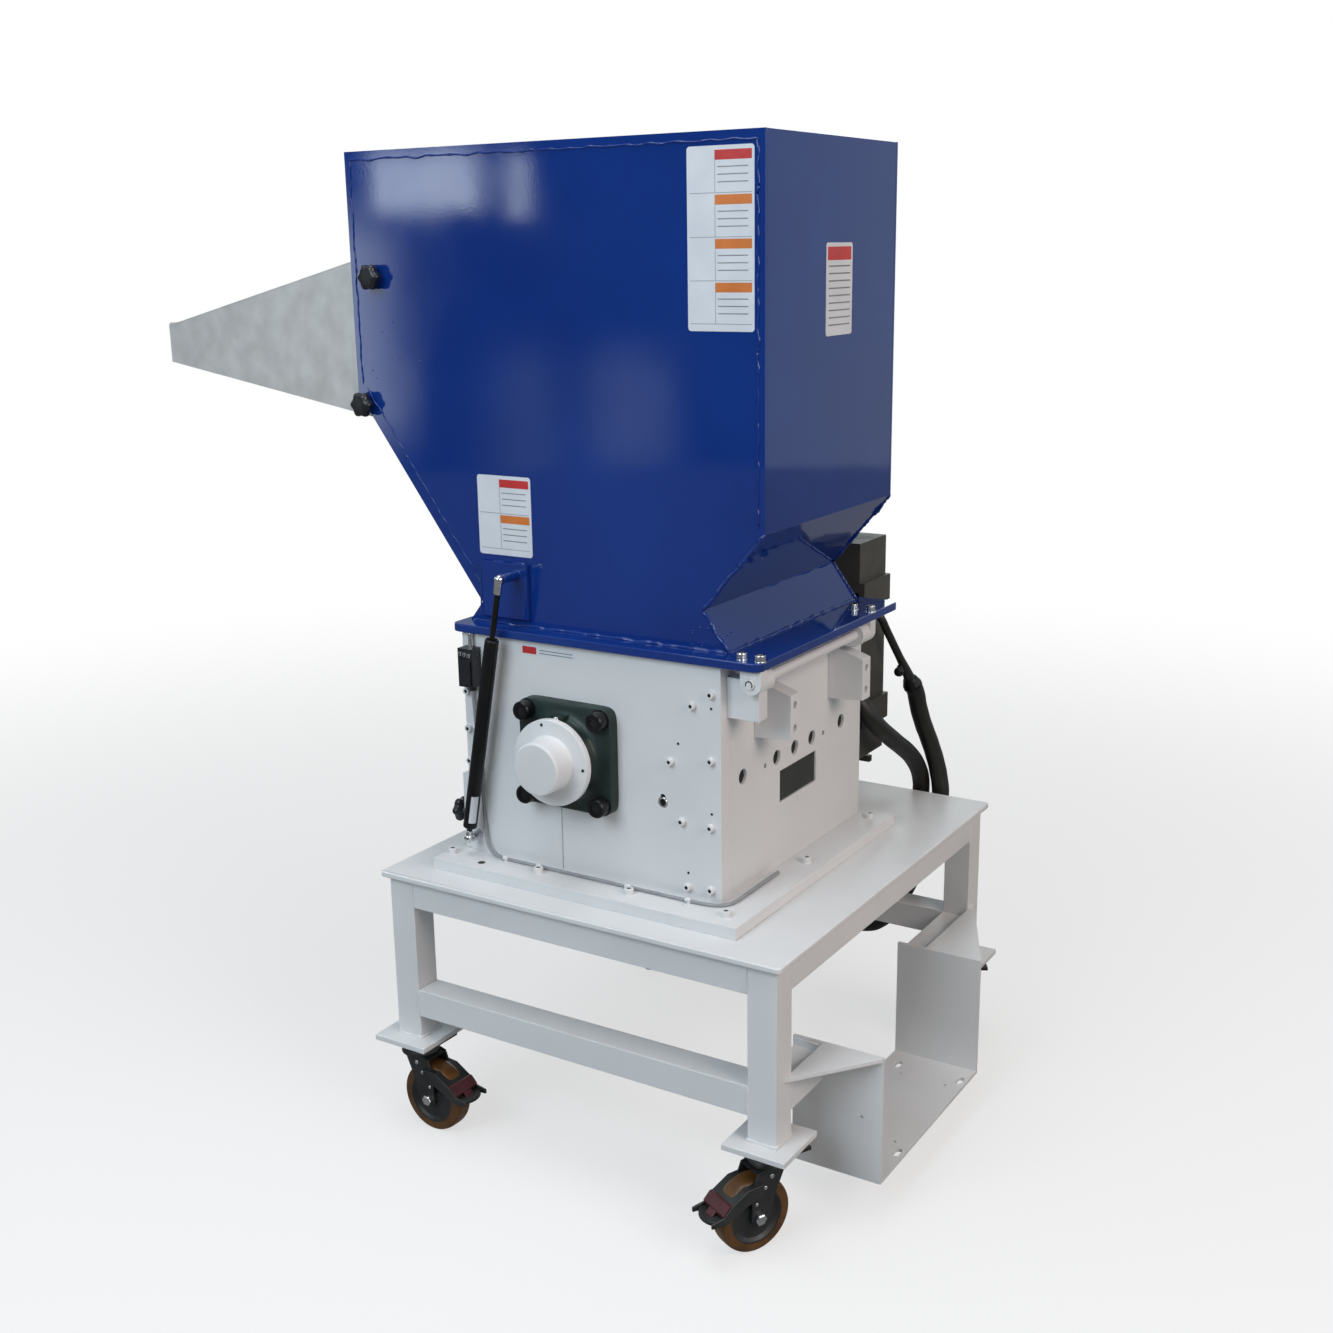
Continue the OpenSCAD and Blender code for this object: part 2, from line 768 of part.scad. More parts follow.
cap_disc_r = 72;
cap_disc_t = 12;
cap_r = 43.5;
cap_len = 53;
cap_wall = 4;

module bearing_cap() {
    color("white") placed() translate([wall_x + bearing_len, rotor_y, rotor_z]) rotate([0, 90, 0])
        rotate_extrude($fn = fine_fn) polygon([
            [shaft_r + cap_wall, 0], [cap_disc_r, 0], [cap_disc_r, cap_disc_t], [cap_r, cap_disc_t],
            [cap_r, cap_len], [0, cap_len], [0, cap_len - cap_wall], [shaft_r + cap_wall, cap_len - cap_wall]
        ]);
}

// Screws in the near wall, as shares of its depth from the rear edge and of its height, and in the
// base plate, as shares of its depth from the front edge and of its width from the far edge
screw_r = 4;
front_screw_in = 8;
base_screw_r = 5;
near_screw_shares = [
    [0.032, 0.882], [0.1, 0.825], [0.034, 0.607], [0.182, 0.576],
    [0.036, 0.326], [0.142, 0.329], [0.036, 0.059], [0.122, 0.051]
];
front_screw_shares = [0.735, 0.566, 0.419];
base_near_shares = [0.027, 0.334, 0.637, 0.939];
base_rear_shares = [0.068, 0.492];

module wall_screws() {
    color("whitesmoke") placed() {
        for (p = near_screw_shares)
            translate([wall_x, chamber_rear - p[0] * chamber_depth, floor_z + p[1] * chamber_h])
                rotate([0, 90, 0]) cap_screw(screw_r, 0);
        for (share = front_screw_shares)
            translate([wall_x, -chamber_front + front_screw_in, floor_z + share * chamber_h])
                rotate([0, 90, 0]) cap_screw(screw_r, 0);
        for (share = base_near_shares)
            translate([wall_x + base_near * half, base_y0 + share * base_depth, floor_z])
                cap_screw(base_screw_r, 0);
        for (share = base_rear_shares)
            translate([base_x0 + share * base_w, chamber_rear + base_rear_edge * half, floor_z])
                cap_screw(base_screw_r, 0);
    }
}

// Two thick lugs on the rear wall, each with two tapped holes in its end face
lug_t = 30;
near_lug_x = 115;
far_lug_x = -147;
lug_reach = 66;
lug_up = 249;
lug_h = 98;
lug_end_rise = 4;
lug_end_h = 72;
lug_low = floor_z + lug_up;
lug_end_low = lug_low + lug_end_rise;
tap_r = 6;
tap_depth = 30;
tap_up = 40;
tap_z = lug_low + tap_up;
tap_pitch = 38;

module lifting_lugs() {
    color("gainsboro") placed() for (x = [near_lug_x, far_lug_x]) difference() {
        along_x(x, lug_t) polygon([
            [chamber_rear, lug_low], [chamber_rear + lug_reach, lug_end_low],
            [chamber_rear + lug_reach, lug_end_low + lug_end_h], [chamber_rear, lug_low + lug_h]
        ]);
        for (z = [-half, half])
            rod_y([x + lug_t * half, chamber_rear + lug_reach - tap_depth, tap_z + z * tap_pitch], tap_r,
                tap_depth + cut);
    }
}

module hinge_blocks() {
    blocks = [[near_block_x, near_block_w, near_block_h], [far_block_x, far_block_w, far_block_h]];
    color("gainsboro") placed() for (p = blocks) difference() {
        union() {
            rod_x([p[0], hinge_y, hinge_z], hinge_r, p[1]);
            translate([p[0], chamber_rear, hinge_z - p[2]]) cube([p[1], hinge_y - chamber_rear, p[2]]);
            translate([p[0], hinge_y - cut, hinge_z - p[2]])
                cube([p[1], block_in + cut, p[2] - hinge_r * half]);
        }
        rod_x([p[0] - cut, hinge_y, hinge_z], hinge_pin_r, p[1] + 2 * cut);
    }
}

knuckle_x = [near_block_x + near_block_w + side_gap, far_block_x - side_gap - knuckle_w];

module hinge_pin() {
    color("whitesmoke") placed() {
        rod_x([knuckle_x[1] - block_in, hinge_y, hinge_z], hinge_pin_r,
            knuckle_x[0] - knuckle_x[1] + knuckle_w + 2 * block_in);
    }
}

module hinge_knuckles() {
    color("gainsboro") placed() for (x = knuckle_x) difference() {
        union() {
            rod_x([x, hinge_y, hinge_z], hinge_r, knuckle_w);
            translate([x, hinge_y - hinge_r, hinge_z]) cube([knuckle_w, 2 * hinge_r, seat_z - hinge_z]);
        }
        rod_x([x - cut, hinge_y, hinge_z], hinge_pin_r + run_gap, knuckle_w + 2 * cut);
    }
}

module hinge_bolts() {
    bolt_in = 20;
    hinge_bolt_r = 5;
    color("silver") placed() for (x = knuckle_x, y = [-bolt_in, bolt_in - 2 * block_in])
        translate([x + knuckle_w * half, hinge_y + y, flange_z]) cap_screw(hinge_bolt_r, 0);
}

// Limit switch under the flange's front near corner, pressed by the closed hopper
switch_in = 8;
switch_drop = 24;
switch_y = -chamber_front + switch_in;
switch_w = 30;
switch_d = 24;
switch_h = 66;
switch_top = roof_z - switch_drop;
plunger_r = 4;
plunger_out = 7;
plunger_x = wall_x + plunger_out;
plunger_y = switch_y + switch_w * half;
plunger_stroke = 3;
plunger_in = 12;

module limit_switch() {
    color("black") placed() difference() {
        translate([wall_x, switch_y, switch_top - switch_h]) cube([switch_d, switch_w, switch_h]);
        translate([plunger_x, plunger_y, switch_top - plunger_in - plunger_stroke - side_gap])
            cylinder(r = plunger_r + run_gap, h = switch_h);
    }
}

module switch_plunger() {
    color("silver") placed() translate([plunger_x, plunger_y, switch_top - plunger_in])
        cylinder(r = plunger_r, h = seat_z - side_gap - switch_top + plunger_in);
}

// Points of a tube's ring at one point of its route
function unit(v) = v / norm(v);
function heading(p, i) = unit(p[min(i + 1, len(p) - 1)] - p[max(i - 1, 0)]);
function side_of(h) = abs(h[2]) < 0.9 ? unit(cross(h, [0, 0, 1])) : unit(cross(h, [0, 1, 0]));
function ring(p, i, r, n) = let (h = heading(p, i), s = side_of(h), u = cross(s, h))
    [for (k = [0:n - 1]) p[i] + r * (cos(360 * k / n) * s + sin(360 * k / n) * u)];

// Tube along a route, closed at both ends
module swept_tube(p, r, n) {
    last = (len(p) - 1) * n;
    points = [for (i = [0:len(p) - 1]) each ring(p, i, r, n)];
    walls = [for (i = [0:len(p) - 2], k = [0:n - 1]) let (a = i * n + k, b = i * n + (k + 1) % n)
        each [[a, b, a + n], [b, b + n, a + n]]];
    polyhedron(points, concat([[for (k = [0:n - 1]) n - 1 - k]], walls, [[for (k = [0:n - 1]) last + k]]));
}

// Signal lead: down from the switch, along the base beside the near wall, then behind the rear wall
lead_r = 3;
lead_route = [
    [256, -259, 801], [256, -259, 780], [255, -256, 720], [254, -252, 660], [254, -249, 600],
    [255, -246, 550], [258, -240, 522], [262, -228, 510], [265, -210, 506], [266, -180, 505.3],
    [266, -120, 505.3], [266, -60, 505.3], [266, 0, 505.3], [266, 60, 505.3], [266, 120, 505.3],
    [266, 170, 505.3], [264, 200, 505.3], [258, 218, 505.3], [246, 229, 505.3], [225, 233, 505.3],
    [160, 233, 505.3], [90, 233, 505.3]
];

module signal_lead() {
    color("gray") placed() swept_tube(lead_route, lead_r, 8);
}

// Lower ball stud of the gas spring, in the near wall
gas_seat = gas_x - gas_end_t * half;

module gas_foot() {
    color("silver") placed() {
        rod_x([wall_x - half * side_wall_t, gas_foot_y, gas_foot_z], gas_stud_r,
            gas_x + gas_end_t * half - wall_x + half * side_wall_t);
        difference() {
            rod_x([wall_x, gas_foot_y, gas_foot_z], gas_eye_r, gas_seat - side_gap - wall_x);
            rod_x([wall_x - cut, gas_foot_y, gas_foot_z], gas_stud_r, gas_x);
        }
    }
}

// Everything on the spring is drawn upright from its lower stud, then leaned to its upper one
module on_spring() {
    placed() translate([gas_x, gas_foot_y, gas_foot_z]) rotate([-gas_lean, 0, 0]) children();
}

module gas_cylinder() {
    color("black") on_spring() difference() {
        union() {
            rod_x([-gas_end_t * half, 0, 0], gas_eye_r, gas_end_t);
            cylinder(r = gas_rod_r, h = gas_body_start + cut);
            translate([0, 0, gas_body_start]) cylinder(r = gas_r, h = gas_body_len);
        }
        rod_x([-gas_end_t * half - cut, 0, 0], gas_stud_r + run_gap, gas_end_t + 2 * cut);
        translate([0, 0, gas_body_start + gas_end_t])
            cylinder(r = gas_rod_r + run_gap, h = gas_body_len);
    }
}

module gas_rod() {
    color("silver") on_spring() {
        translate([0, 0, gas_body_start + 2 * gas_end_t])
            cylinder(r = gas_rod_r, h = gas_len - gas_body_start - 2 * gas_end_t);
        rod_x([-gas_end_t * half, 0, gas_len], gas_eye_r, gas_end_t);
    }
}

bracket_plate_t = 8;
gas_plate_front = 73;
gas_plate_y0 = gas_top_y - gas_plate_front;
gas_plate_w = 94;
gas_plate_up = 12;
gas_plate_z0 = flange_z + gas_plate_up;
gas_plate_h = 93;

module gas_bracket() {
    color("mediumblue") placed() {
        translate([hopper_x, gas_plate_y0, gas_plate_z0]) cube([bracket_plate_t, gas_plate_w, gas_plate_h]);
        rod_x([hopper_x + bracket_plate_t, gas_top_y, gas_top_z], gas_eye_r,
            gas_seat - side_gap - hopper_x - bracket_plate_t);
    }
}

module hopper_sides() {
    color("mediumblue") placed() for (x = [-hopper_x, hopper_in]) difference() {
        along_x(x, plate_t) polygon(concat(hopper_rear_line, [for (i = [3:-1:0]) hopper_front_line[i]]));
        for (p = [knob_upper, knob_lower])
            rod_x([x - cut, p[0], p[1]], stud_r + run_gap, plate_t + 2 * cut);
    }
}

module wall_outline(line, shift) {
    polygon(concat(line, [for (i = [len(line) - 1:-1:0]) line[i] + [shift, 0]]));
}

module hopper_sheet() {
    color("mediumblue") placed() difference() {
        along_x(-hopper_in, 2 * hopper_in) {
            wall_outline(hopper_front_line, sheet_t);
            wall_outline(hopper_rear_line, -sheet_t);
            translate([-hopper_front, hopper_top - sheet_t]) square([hopper_front + hopper_rear, sheet_t]);
        }
        translate([-hopper_in - cut, -hopper_front - cut, flange_z + mouth_low])
            cube([2 * hopper_in + 2 * cut, tray_inner, mouth_high - mouth_low]);
    }
}

module hopper_flange() {
    size_x = chamber_w + flange_near + flange_far;
    size_y = chamber_depth + flange_front + flange_rear;
    color("mediumblue") placed() difference() {
        translate([-wall_x - flange_far, -chamber_front - flange_front, seat_z]) linear_extrude(flange_t)
            round_rect([size_x, size_y], flange_corner_r);
        translate([-hopper_in, -chamber_front + sheet_t, seat_z - cut])
            cube([2 * hopper_in, chamber_depth - 2 * sheet_t, flange_t + 2 * cut]);
    }
}

// Feed tray: floor, two sides and front lip, bent from one sheet
module feed_tray() {
    side = [
        [tray_tip_y, tray_tip_z], [-hopper_front + tray_foot_in, tray_floor],
        [-hopper_front + tray_inner, tray_floor], [-hopper_front + tray_inner, tray_top],
        [-hopper_front - side_gap, tray_top], [tray_tip_y, tray_tip_z + tray_lip_h]
    ];
    color("silver") placed() difference() {
        union() {
            for (x = [-tray_x, tray_x - tray_t]) along_x(x, tray_t) polygon(side);
            along_x(-tray_x, 2 * tray_x) polygon([
                side[0], side[1], side[1] + [0, tray_t], side[0] + [0, tray_t]
            ]);
            translate([-tray_x, tray_tip_y, tray_tip_z]) cube([2 * tray_x, tray_t, tray_lip_h]);
            rod_x([-tray_x, tray_tip_y + tray_hem_r, tray_tip_z + tray_lip_h], tray_hem_r, 2 * tray_x);
        }
        for (p = [knob_upper, knob_lower])
            rod_x([-tray_x - cut, p[0], p[1]], stud_r + run_gap, 2 * tray_x + 2 * cut);
    }
}

module tray_knob(side, p) {
    color("black") placed() mirror([side, 0, 0]) translate([hopper_x + side_gap, p[0], p[1]])
        rotate([0, 90, 0]) star_knob(plate_t + 2 * side_gap + tray_t);
}

module knob_upper_near() { tray_knob(0, knob_upper); }
module knob_lower_near() { tray_knob(0, knob_lower); }
module knob_upper_far() { tray_knob(1, knob_upper); }
module knob_lower_far() { tray_knob(1, knob_lower); }

// Gear unit on the far end of the shaft: a tall case, an upper rear case and foot lugs
gear_front_out = 115;
gear_down = 130;
gear_mid_up = 110;
gear_front = rotor_y - gear_front_out;
gear_low = rotor_z - gear_down;
gear_mid = rotor_z + gear_mid_up;
gear_upper_y = 30;
gear_lug = 10;
gear_lug_h = 48;
gear_lug_in = 17;
gear_lug_down = 70;
gear_lug_up = 158;
gear_lug_places = [rotor_z - gear_lug_down, rotor_z + gear_lug_up];
gear_foot_w = 60;

module gear_unit() {
    color("dimgray") placed() difference() {
        union() {
            translate([gear_x - gear_w, gear_front, gear_low])
                cube([gear_w, gear_rear - gear_front, gear_mid - gear_low]);
            translate([gear_x - gear_w, gear_upper_y, gear_mid])
                cube([gear_w, gear_rear - gear_upper_y, gear_top - gear_mid]);
            for (z = gear_lug_places) translate([gear_x - gear_w, gear_rear, z])
                cube([gear_w, gear_lug, gear_lug_h]);
            translate([gear_x - gear_w, rotor_y - gear_foot_w * half, table_h])
                cube([gear_w, gear_foot_w, gear_low - table_h]);
        }
        rod_x([gear_x - gear_w - cut, rotor_y, rotor_z], shaft_r + run_gap, gear_w + 2 * cut);
        for (z = gear_lug_places)
            rod_x([gear_x - gear_w - cut, gear_rear + gear_lug - gear_lug_in, z + gear_lug_h * half], tap_r,
                gear_w + 2 * cut);
    }
}

// Motor lying along Y in front of the gear unit's upper case
motor_up = 225;
motor_z = rotor_z + motor_up;
motor_x = gear_x - gear_w * half;
motor_len = 300;
motor_flange_r = 96;
motor_flange_t = 14;

module motor() {
    color("dimgray") placed() {
        rod_y([motor_x, gear_upper_y - motor_flange_t, motor_z], motor_flange_r, motor_flange_t);
        rod_y([motor_x, gear_upper_y - motor_len, motor_z], motor_r, motor_len - motor_flange_t);
    }
}

// Terminal box, saddled under the motor, clear of the gear unit's lower case
box_w = 88;
box_h = 62;
box_len = 84;
box_front = 292;
box_y = gear_upper_y - box_front;
box_z = motor_z - motor_r - box_h;

module terminal_box() {
    color("gray") placed() difference() {
        translate([motor_x - box_w * half, box_y, box_z]) cube([box_w, box_len, box_h + motor_r * half]);
        rod_y([motor_x, box_y - cut, motor_z], motor_r, box_len + 2 * cut);
    }
}

// Hoses: one from the terminal box, over the far bearing and round the gear unit, one from the
// sensor cable. Both hang past the table's far edge and rise into the junction box on its rail
power_route = [
    [-315, -220, 820], [-303, -220, 820], [-289, -212, 821], [-281, -196, 823], [-278, -172, 828],
    [-278, -120, 838], [-278, -60, 843], [-278, 0, 840], [-278, 50, 826], [-278, 95, 798],
    [-278, 135, 764], [-277, 170, 732], [-276, 200, 706], [-284, 219, 678], [-305, 229, 652],
    [-335, 234, 629], [-367, 237, 607], [-402, 240, 584], [-434, 241, 561], [-462, 241, 535],
    [-483, 240, 507], [-495, 237, 475], [-499, 230, 430], [-499, 217, 385], [-499, 200, 340],
    [-499, 180, 295], [-499, 160, 257], [-499, 140, 229], [-499, 120, 212], [-499, 101, 209],
    [-499, 83, 218], [-499, 69, 236], [-499, 61, 261], [-499, 60, 292], [-499, 60, 330]
];
sleeve_route = [
    [-440, 236, 702], [-450, 239.8, 683.5], [-458, 243, 652], [-468, 249, 618], [-481, 256, 585],
    [-491, 264, 550], [-497, 271, 515], [-499, 276, 475], [-499, 272, 430], [-499, 258, 380],
    [-499, 240, 330], [-499, 218, 280], [-499, 196, 236], [-499, 172, 199], [-499, 144, 174],
    [-499, 112, 165], [-499, 80, 170], [-499, 51, 188], [-499, 30, 215], [-499, 19, 250],
    [-499, 18, 290], [-499, 18, 330]
];
sensor_route = [
    [-352, 188, 852], [-352, 196, 852], [-353, 203, 849], [-356, 208, 842], [-361, 211, 832],
    [-368, 213, 820], [-383, 217, 797], [-403, 223, 765], [-424, 230, 731], [-440, 236, 702]
];
sensor_r = 7.5;
junction_y = -6;
junction_z = 330;
junction_h = 130;
junction_depth = 90;

module conduits() {
    color("black") placed() {
        swept_tube(power_route, conduit_r, 12);
        swept_tube(sleeve_route, conduit_r, 12);
    }
}

module sensor_cable() {
    color("black") placed() swept_tube(sensor_route, sensor_r, 12);
}

module junction_box() {
    color("gray") placed() translate([reach_far, junction_y, junction_z])
        cube([leg_x0 - reach_far, junction_depth, junction_h]);
}

table_top();
table_legs();
upper_rails();
lower_rails();
blower_bracket();
caster_plates();
fork_front_near();
fork_rear_near();
fork_front_far();
fork_rear_far();
wheel_front_near();
wheel_rear_near();
wheel_front_far();
wheel_rear_far();
pedal_front_near();
pedal_rear_near();
base_plate();
near_wall();
far_wall();
rear_wall();
front_wall();
screen_door();
door_pin();
door_knob();
bed_knives();
screen();
screen_cradle();
rotor_shaft();
rotor();
rotor_knives();
bearing_housings();
bearing_bolts();
bearing_cap();
wall_screws();
lifting_lugs();
hinge_blocks();
hinge_pin();
limit_switch();
switch_plunger();
signal_lead();
gas_foot();
gas_cylinder();
gas_rod();
hopper_sides();
hopper_sheet();
hopper_flange();
hinge_knuckles();
hinge_bolts();
gas_bracket();
feed_tray();
knob_upper_near();
knob_lower_near();
knob_upper_far();
knob_lower_far();
gear_unit();
motor();
terminal_box();
conduits();
sensor_cable();
junction_box();
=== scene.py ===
# %% [markdown]
# # Dressing a plastic granulator
# The machine's construction comes packed as solids, one object per piece. This lesson loads it as a
# fixed frame and gives each piece the finish and the small forms that a photograph shows: gloss
# blue paint over rough welds, satin white plate, brushed stainless sheet, green cast iron.

# %% Load the frame
import json
import math

import bmesh
import bpy
import numpy as np
from mathutils import Matrix, Vector


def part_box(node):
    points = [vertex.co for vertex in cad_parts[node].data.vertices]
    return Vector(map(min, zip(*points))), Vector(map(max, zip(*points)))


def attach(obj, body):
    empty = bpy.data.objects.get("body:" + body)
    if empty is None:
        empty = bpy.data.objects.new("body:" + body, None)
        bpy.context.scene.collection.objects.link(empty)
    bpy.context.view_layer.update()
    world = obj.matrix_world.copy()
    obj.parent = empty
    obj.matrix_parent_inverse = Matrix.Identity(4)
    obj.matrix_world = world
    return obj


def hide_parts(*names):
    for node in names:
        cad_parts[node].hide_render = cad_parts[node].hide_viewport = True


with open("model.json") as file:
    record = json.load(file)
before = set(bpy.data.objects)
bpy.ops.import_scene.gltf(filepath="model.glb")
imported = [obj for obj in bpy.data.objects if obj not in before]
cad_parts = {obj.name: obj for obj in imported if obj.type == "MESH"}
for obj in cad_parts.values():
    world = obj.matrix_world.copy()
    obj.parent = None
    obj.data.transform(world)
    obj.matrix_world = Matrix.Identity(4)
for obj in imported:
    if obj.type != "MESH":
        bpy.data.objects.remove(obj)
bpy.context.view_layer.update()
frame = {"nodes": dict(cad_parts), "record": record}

# %% [markdown]
# A machine is drawn from its own middle: the rotor lies along X, the hopper's hinge is towards Y
# and the floor is at zero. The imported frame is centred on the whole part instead, so one small
# function turns a place on the drawing, in millimetres, into a place in the frame, in metres. Its
# two offsets are read from the frame, not typed: the hopper is symmetric in X, the table in Y.

# %% Places on the machine
MM = 0.001
HALF = 0.5


def low(node):
    """Lowest corner of a node's box."""
    return np.array(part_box(node)[0])


def high(node):
    """Highest corner of a node's box."""
    return np.array(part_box(node)[1])


def middle(node):
    """Middle of a node's box."""
    return (low(node) + high(node)) * HALF


DATUM = np.array([middle("hopper_sides")[0], middle("table_top")[1], 0.0])


def at(x, y, z):
    """Drawing place in millimetres to frame place in metres: the datum plus a thousandth of it."""
    return DATUM + np.array([x, y, z], float) * MM


NEAR_X = high("near_wall")[0]
ROTOR = np.array([0.0, middle("bearing_cap")[1], middle("bearing_cap")[2]])
print("near wall at x", round(float(NEAR_X), 4), "rotor axis at", ROTOR.round(4))

# %% [markdown]
# The camera comes first, because everything else is judged through it. Its lens and place were
# worked out from straight edges of the photograph. A camera looks along its own -Z, so its matrix
# is built from three unit vectors: right, up and back. The photographer leaned by under a degree,
# which turns right and up about the view.

# %% Camera
LENS_MM = 43.26
SENSOR_MM = 36
VIEW_AZIMUTH = math.radians(122.222)
VIEW_ELEVATION = math.radians(14.684)
VIEW_ROLL = math.radians(-0.87)
VIEW_PLACE = (2281, 1397, 1505)
VIEW_SHIFT = (0.0019, 0.0013)


def make_camera():
    """Camera whose back vector is (sin a cos e, -cos a cos e, sin e) for azimuth a and elevation e."""
    a, e, roll = VIEW_AZIMUTH, VIEW_ELEVATION, VIEW_ROLL
    back = np.array([math.sin(a) * math.cos(e), -math.cos(a) * math.cos(e), math.sin(e)])
    level = np.cross([0, 0, 1], back)
    level /= np.linalg.norm(level)
    upright = np.cross(back, level)
    right = math.cos(roll) * level + math.sin(roll) * upright
    up = -math.sin(roll) * level + math.cos(roll) * upright
    camera = bpy.data.objects.new("camera", bpy.data.cameras.new("camera"))
    bpy.context.scene.collection.objects.link(camera)
    matrix = Matrix.Identity(4)
    for i, column in enumerate((right, up, back, at(*VIEW_PLACE))):
        for k in range(3):
            matrix[k][i] = float(column[k])
    camera.matrix_world = matrix
    camera.data.lens = LENS_MM
    camera.data.sensor_width = SENSOR_MM
    camera.data.shift_x, camera.data.shift_y = VIEW_SHIFT
    bpy.context.scene.camera = camera
    return camera


make_camera()
bpy.context.scene.view_settings.view_transform = "Standard"

# %% [markdown]
# Gloss paint shows its surroundings, so they are part of the picture. The lens sees white all
# round, but a mirror sees a hall: dim at eye level on the bearing side, pale behind the machine,
# bright overhead, with a few far windows low in the dim part. The plate is nearly flat, so a
# window only a few degrees wide fills a third of it. Diffuse light stays plain and even.

# %% World
AMBIENT = 0.20
DIM, PALE, OVERHEAD = 0.07, 0.55, 0.50
PALE_AZIMUTH = math.radians(154)
WINDOWS = [
    # azimuth and elevation of the middle, half width, half height, softness, all degrees; strength
    (-40.1, 2.35, 1.75, 0.95, 0.35, 7.4),
    (-37.0, 2.10, 0.40, 1.00, 0.30, 6.0),
    (-43.6, -2.6, 2.10, 3.60, 1.50, 3.8),
    (-33.2, -5.6, 1.40, 2.00, 1.10, 0.8),
    (-36.9, -6.2, 1.00, 2.80, 1.40, 0.5),
    (60.0, 12.0, 14.0, 6.00, 2.00, 3.0),
    (118.0, 14.0, 9.0, 5.00, 2.00, 3.0),
    (-100.0, 11.0, 16.0, 6.00, 2.00, 3.0),
    (-160.0, 12.0, 12.0, 6.00, 2.00, 3.0),
]


def calc(tree, operation, a, b=None):
    """Math node on two values, each a socket or a number."""
    node = tree.nodes.new("ShaderNodeMath")
    node.operation = operation
    for slot, value in ((0, a), (1, b)):
        if isinstance(value, (int, float)):
            node.inputs[slot].default_value = value
        elif value is not None:
            tree.links.new(value, node.inputs[slot])
    return node.outputs[0]


def step(tree, value, start, end, least=0.0, most=1.0):
    """Smooth step of a socket from least at start to most at end."""
    node = tree.nodes.new("ShaderNodeMapRange")
    node.interpolation_type = "SMOOTHSTEP"
    node.inputs["From Min"].default_value = start
    node.inputs["From Max"].default_value = end
    node.inputs["To Min"].default_value = least
    node.inputs["To Max"].default_value = most
    tree.links.new(value, node.inputs["Value"])
    return node.outputs["Result"]


def make_world():
    """World of AMBIENT for diffuse rays, 1 for the lens and a hall with windows for mirrors."""
    world = bpy.data.worlds.new("studio")
    bpy.context.scene.world = world
    world.use_nodes = True
    tree = world.node_tree
    background = tree.nodes["Background"]
    split = tree.nodes.new("ShaderNodeSeparateXYZ")
    tree.links.new(tree.nodes.new("ShaderNodeTexCoord").outputs["Generated"], split.inputs[0])
    x, y, z = split.outputs
    azimuth = calc(tree, "MULTIPLY", calc(tree, "ARCTAN2", y, x), 180 / math.pi)
    elevation = calc(tree, "MULTIPLY", calc(tree, "ARCSINE", z), 180 / math.pi)
    along = calc(tree, "ADD", calc(tree, "MULTIPLY", x, math.cos(PALE_AZIMUTH)),
                 calc(tree, "MULTIPLY", y, math.sin(PALE_AZIMUTH)))
    hall = step(tree, along, -0.2, 0.95, DIM, PALE)
    lift = step(tree, elevation, 7.0, 26.0)
    level = calc(tree, "ADD", calc(tree, "MULTIPLY", hall, calc(tree, "SUBTRACT", 1.0, lift)),
                 calc(tree, "MULTIPLY", lift, OVERHEAD))
    for turn, rise, half_width, half_height, soft, strength in WINDOWS:
        wide = calc(tree, "ABSOLUTE", calc(tree, "SUBTRACT", azimuth, turn))
        tall = calc(tree, "ABSOLUTE", calc(tree, "SUBTRACT", elevation, rise))
        inside = calc(tree, "MULTIPLY", step(tree, wide, half_width - soft, half_width + soft, 1.0, 0.0),
                      step(tree, tall, half_height - soft, half_height + soft, 1.0, 0.0))
        level = calc(tree, "ADD", level, calc(tree, "MULTIPLY", inside, strength))
    path = tree.nodes.new("ShaderNodeLightPath")
    glossy = path.outputs["Is Glossy Ray"]
    lens = calc(tree, "MAXIMUM", path.outputs["Is Camera Ray"], path.outputs["Is Transmission Ray"])
    plain = calc(tree, "MAXIMUM", lens, AMBIENT)
    strength = calc(tree, "ADD", calc(tree, "MULTIPLY", glossy, level),
                    calc(tree, "MULTIPLY", calc(tree, "SUBTRACT", 1.0, glossy), plain))
    tint = tree.nodes.new("ShaderNodeMix")
    tint.data_type = "RGBA"
    tint.inputs[6].default_value = (0.88, 0.98, 1.0, 1)
    tint.inputs[7].default_value = (1.0, 1.0, 1.0, 1)
    tree.links.new(lens, tint.inputs[0])
    tree.links.new(tint.outputs[2], background.inputs["Color"])
    tree.links.new(strength, background.inputs["Strength"])


make_world()
print("windows in the hall:", len(WINDOWS))

# %% [markdown]
# The floor is a pale disc. For the lens it is part plain white, part real shading, so that the
# machine's soft shadow stays, and it melts into the backdrop with distance. Mirrors see a grey
# hall floor in its place, or the lower half of every gloss plate would turn milky. The light it
# sends back up is that of a darker workshop floor, so the undersides of the stand stay grey.

# %% Floor
FLOOR_R = 9.0
FLOOR_GLOW = 0.62
FLOOR_MIRRORED = 0.22
FLOOR_PALE, FLOOR_DIMMED = 0.80, 0.45


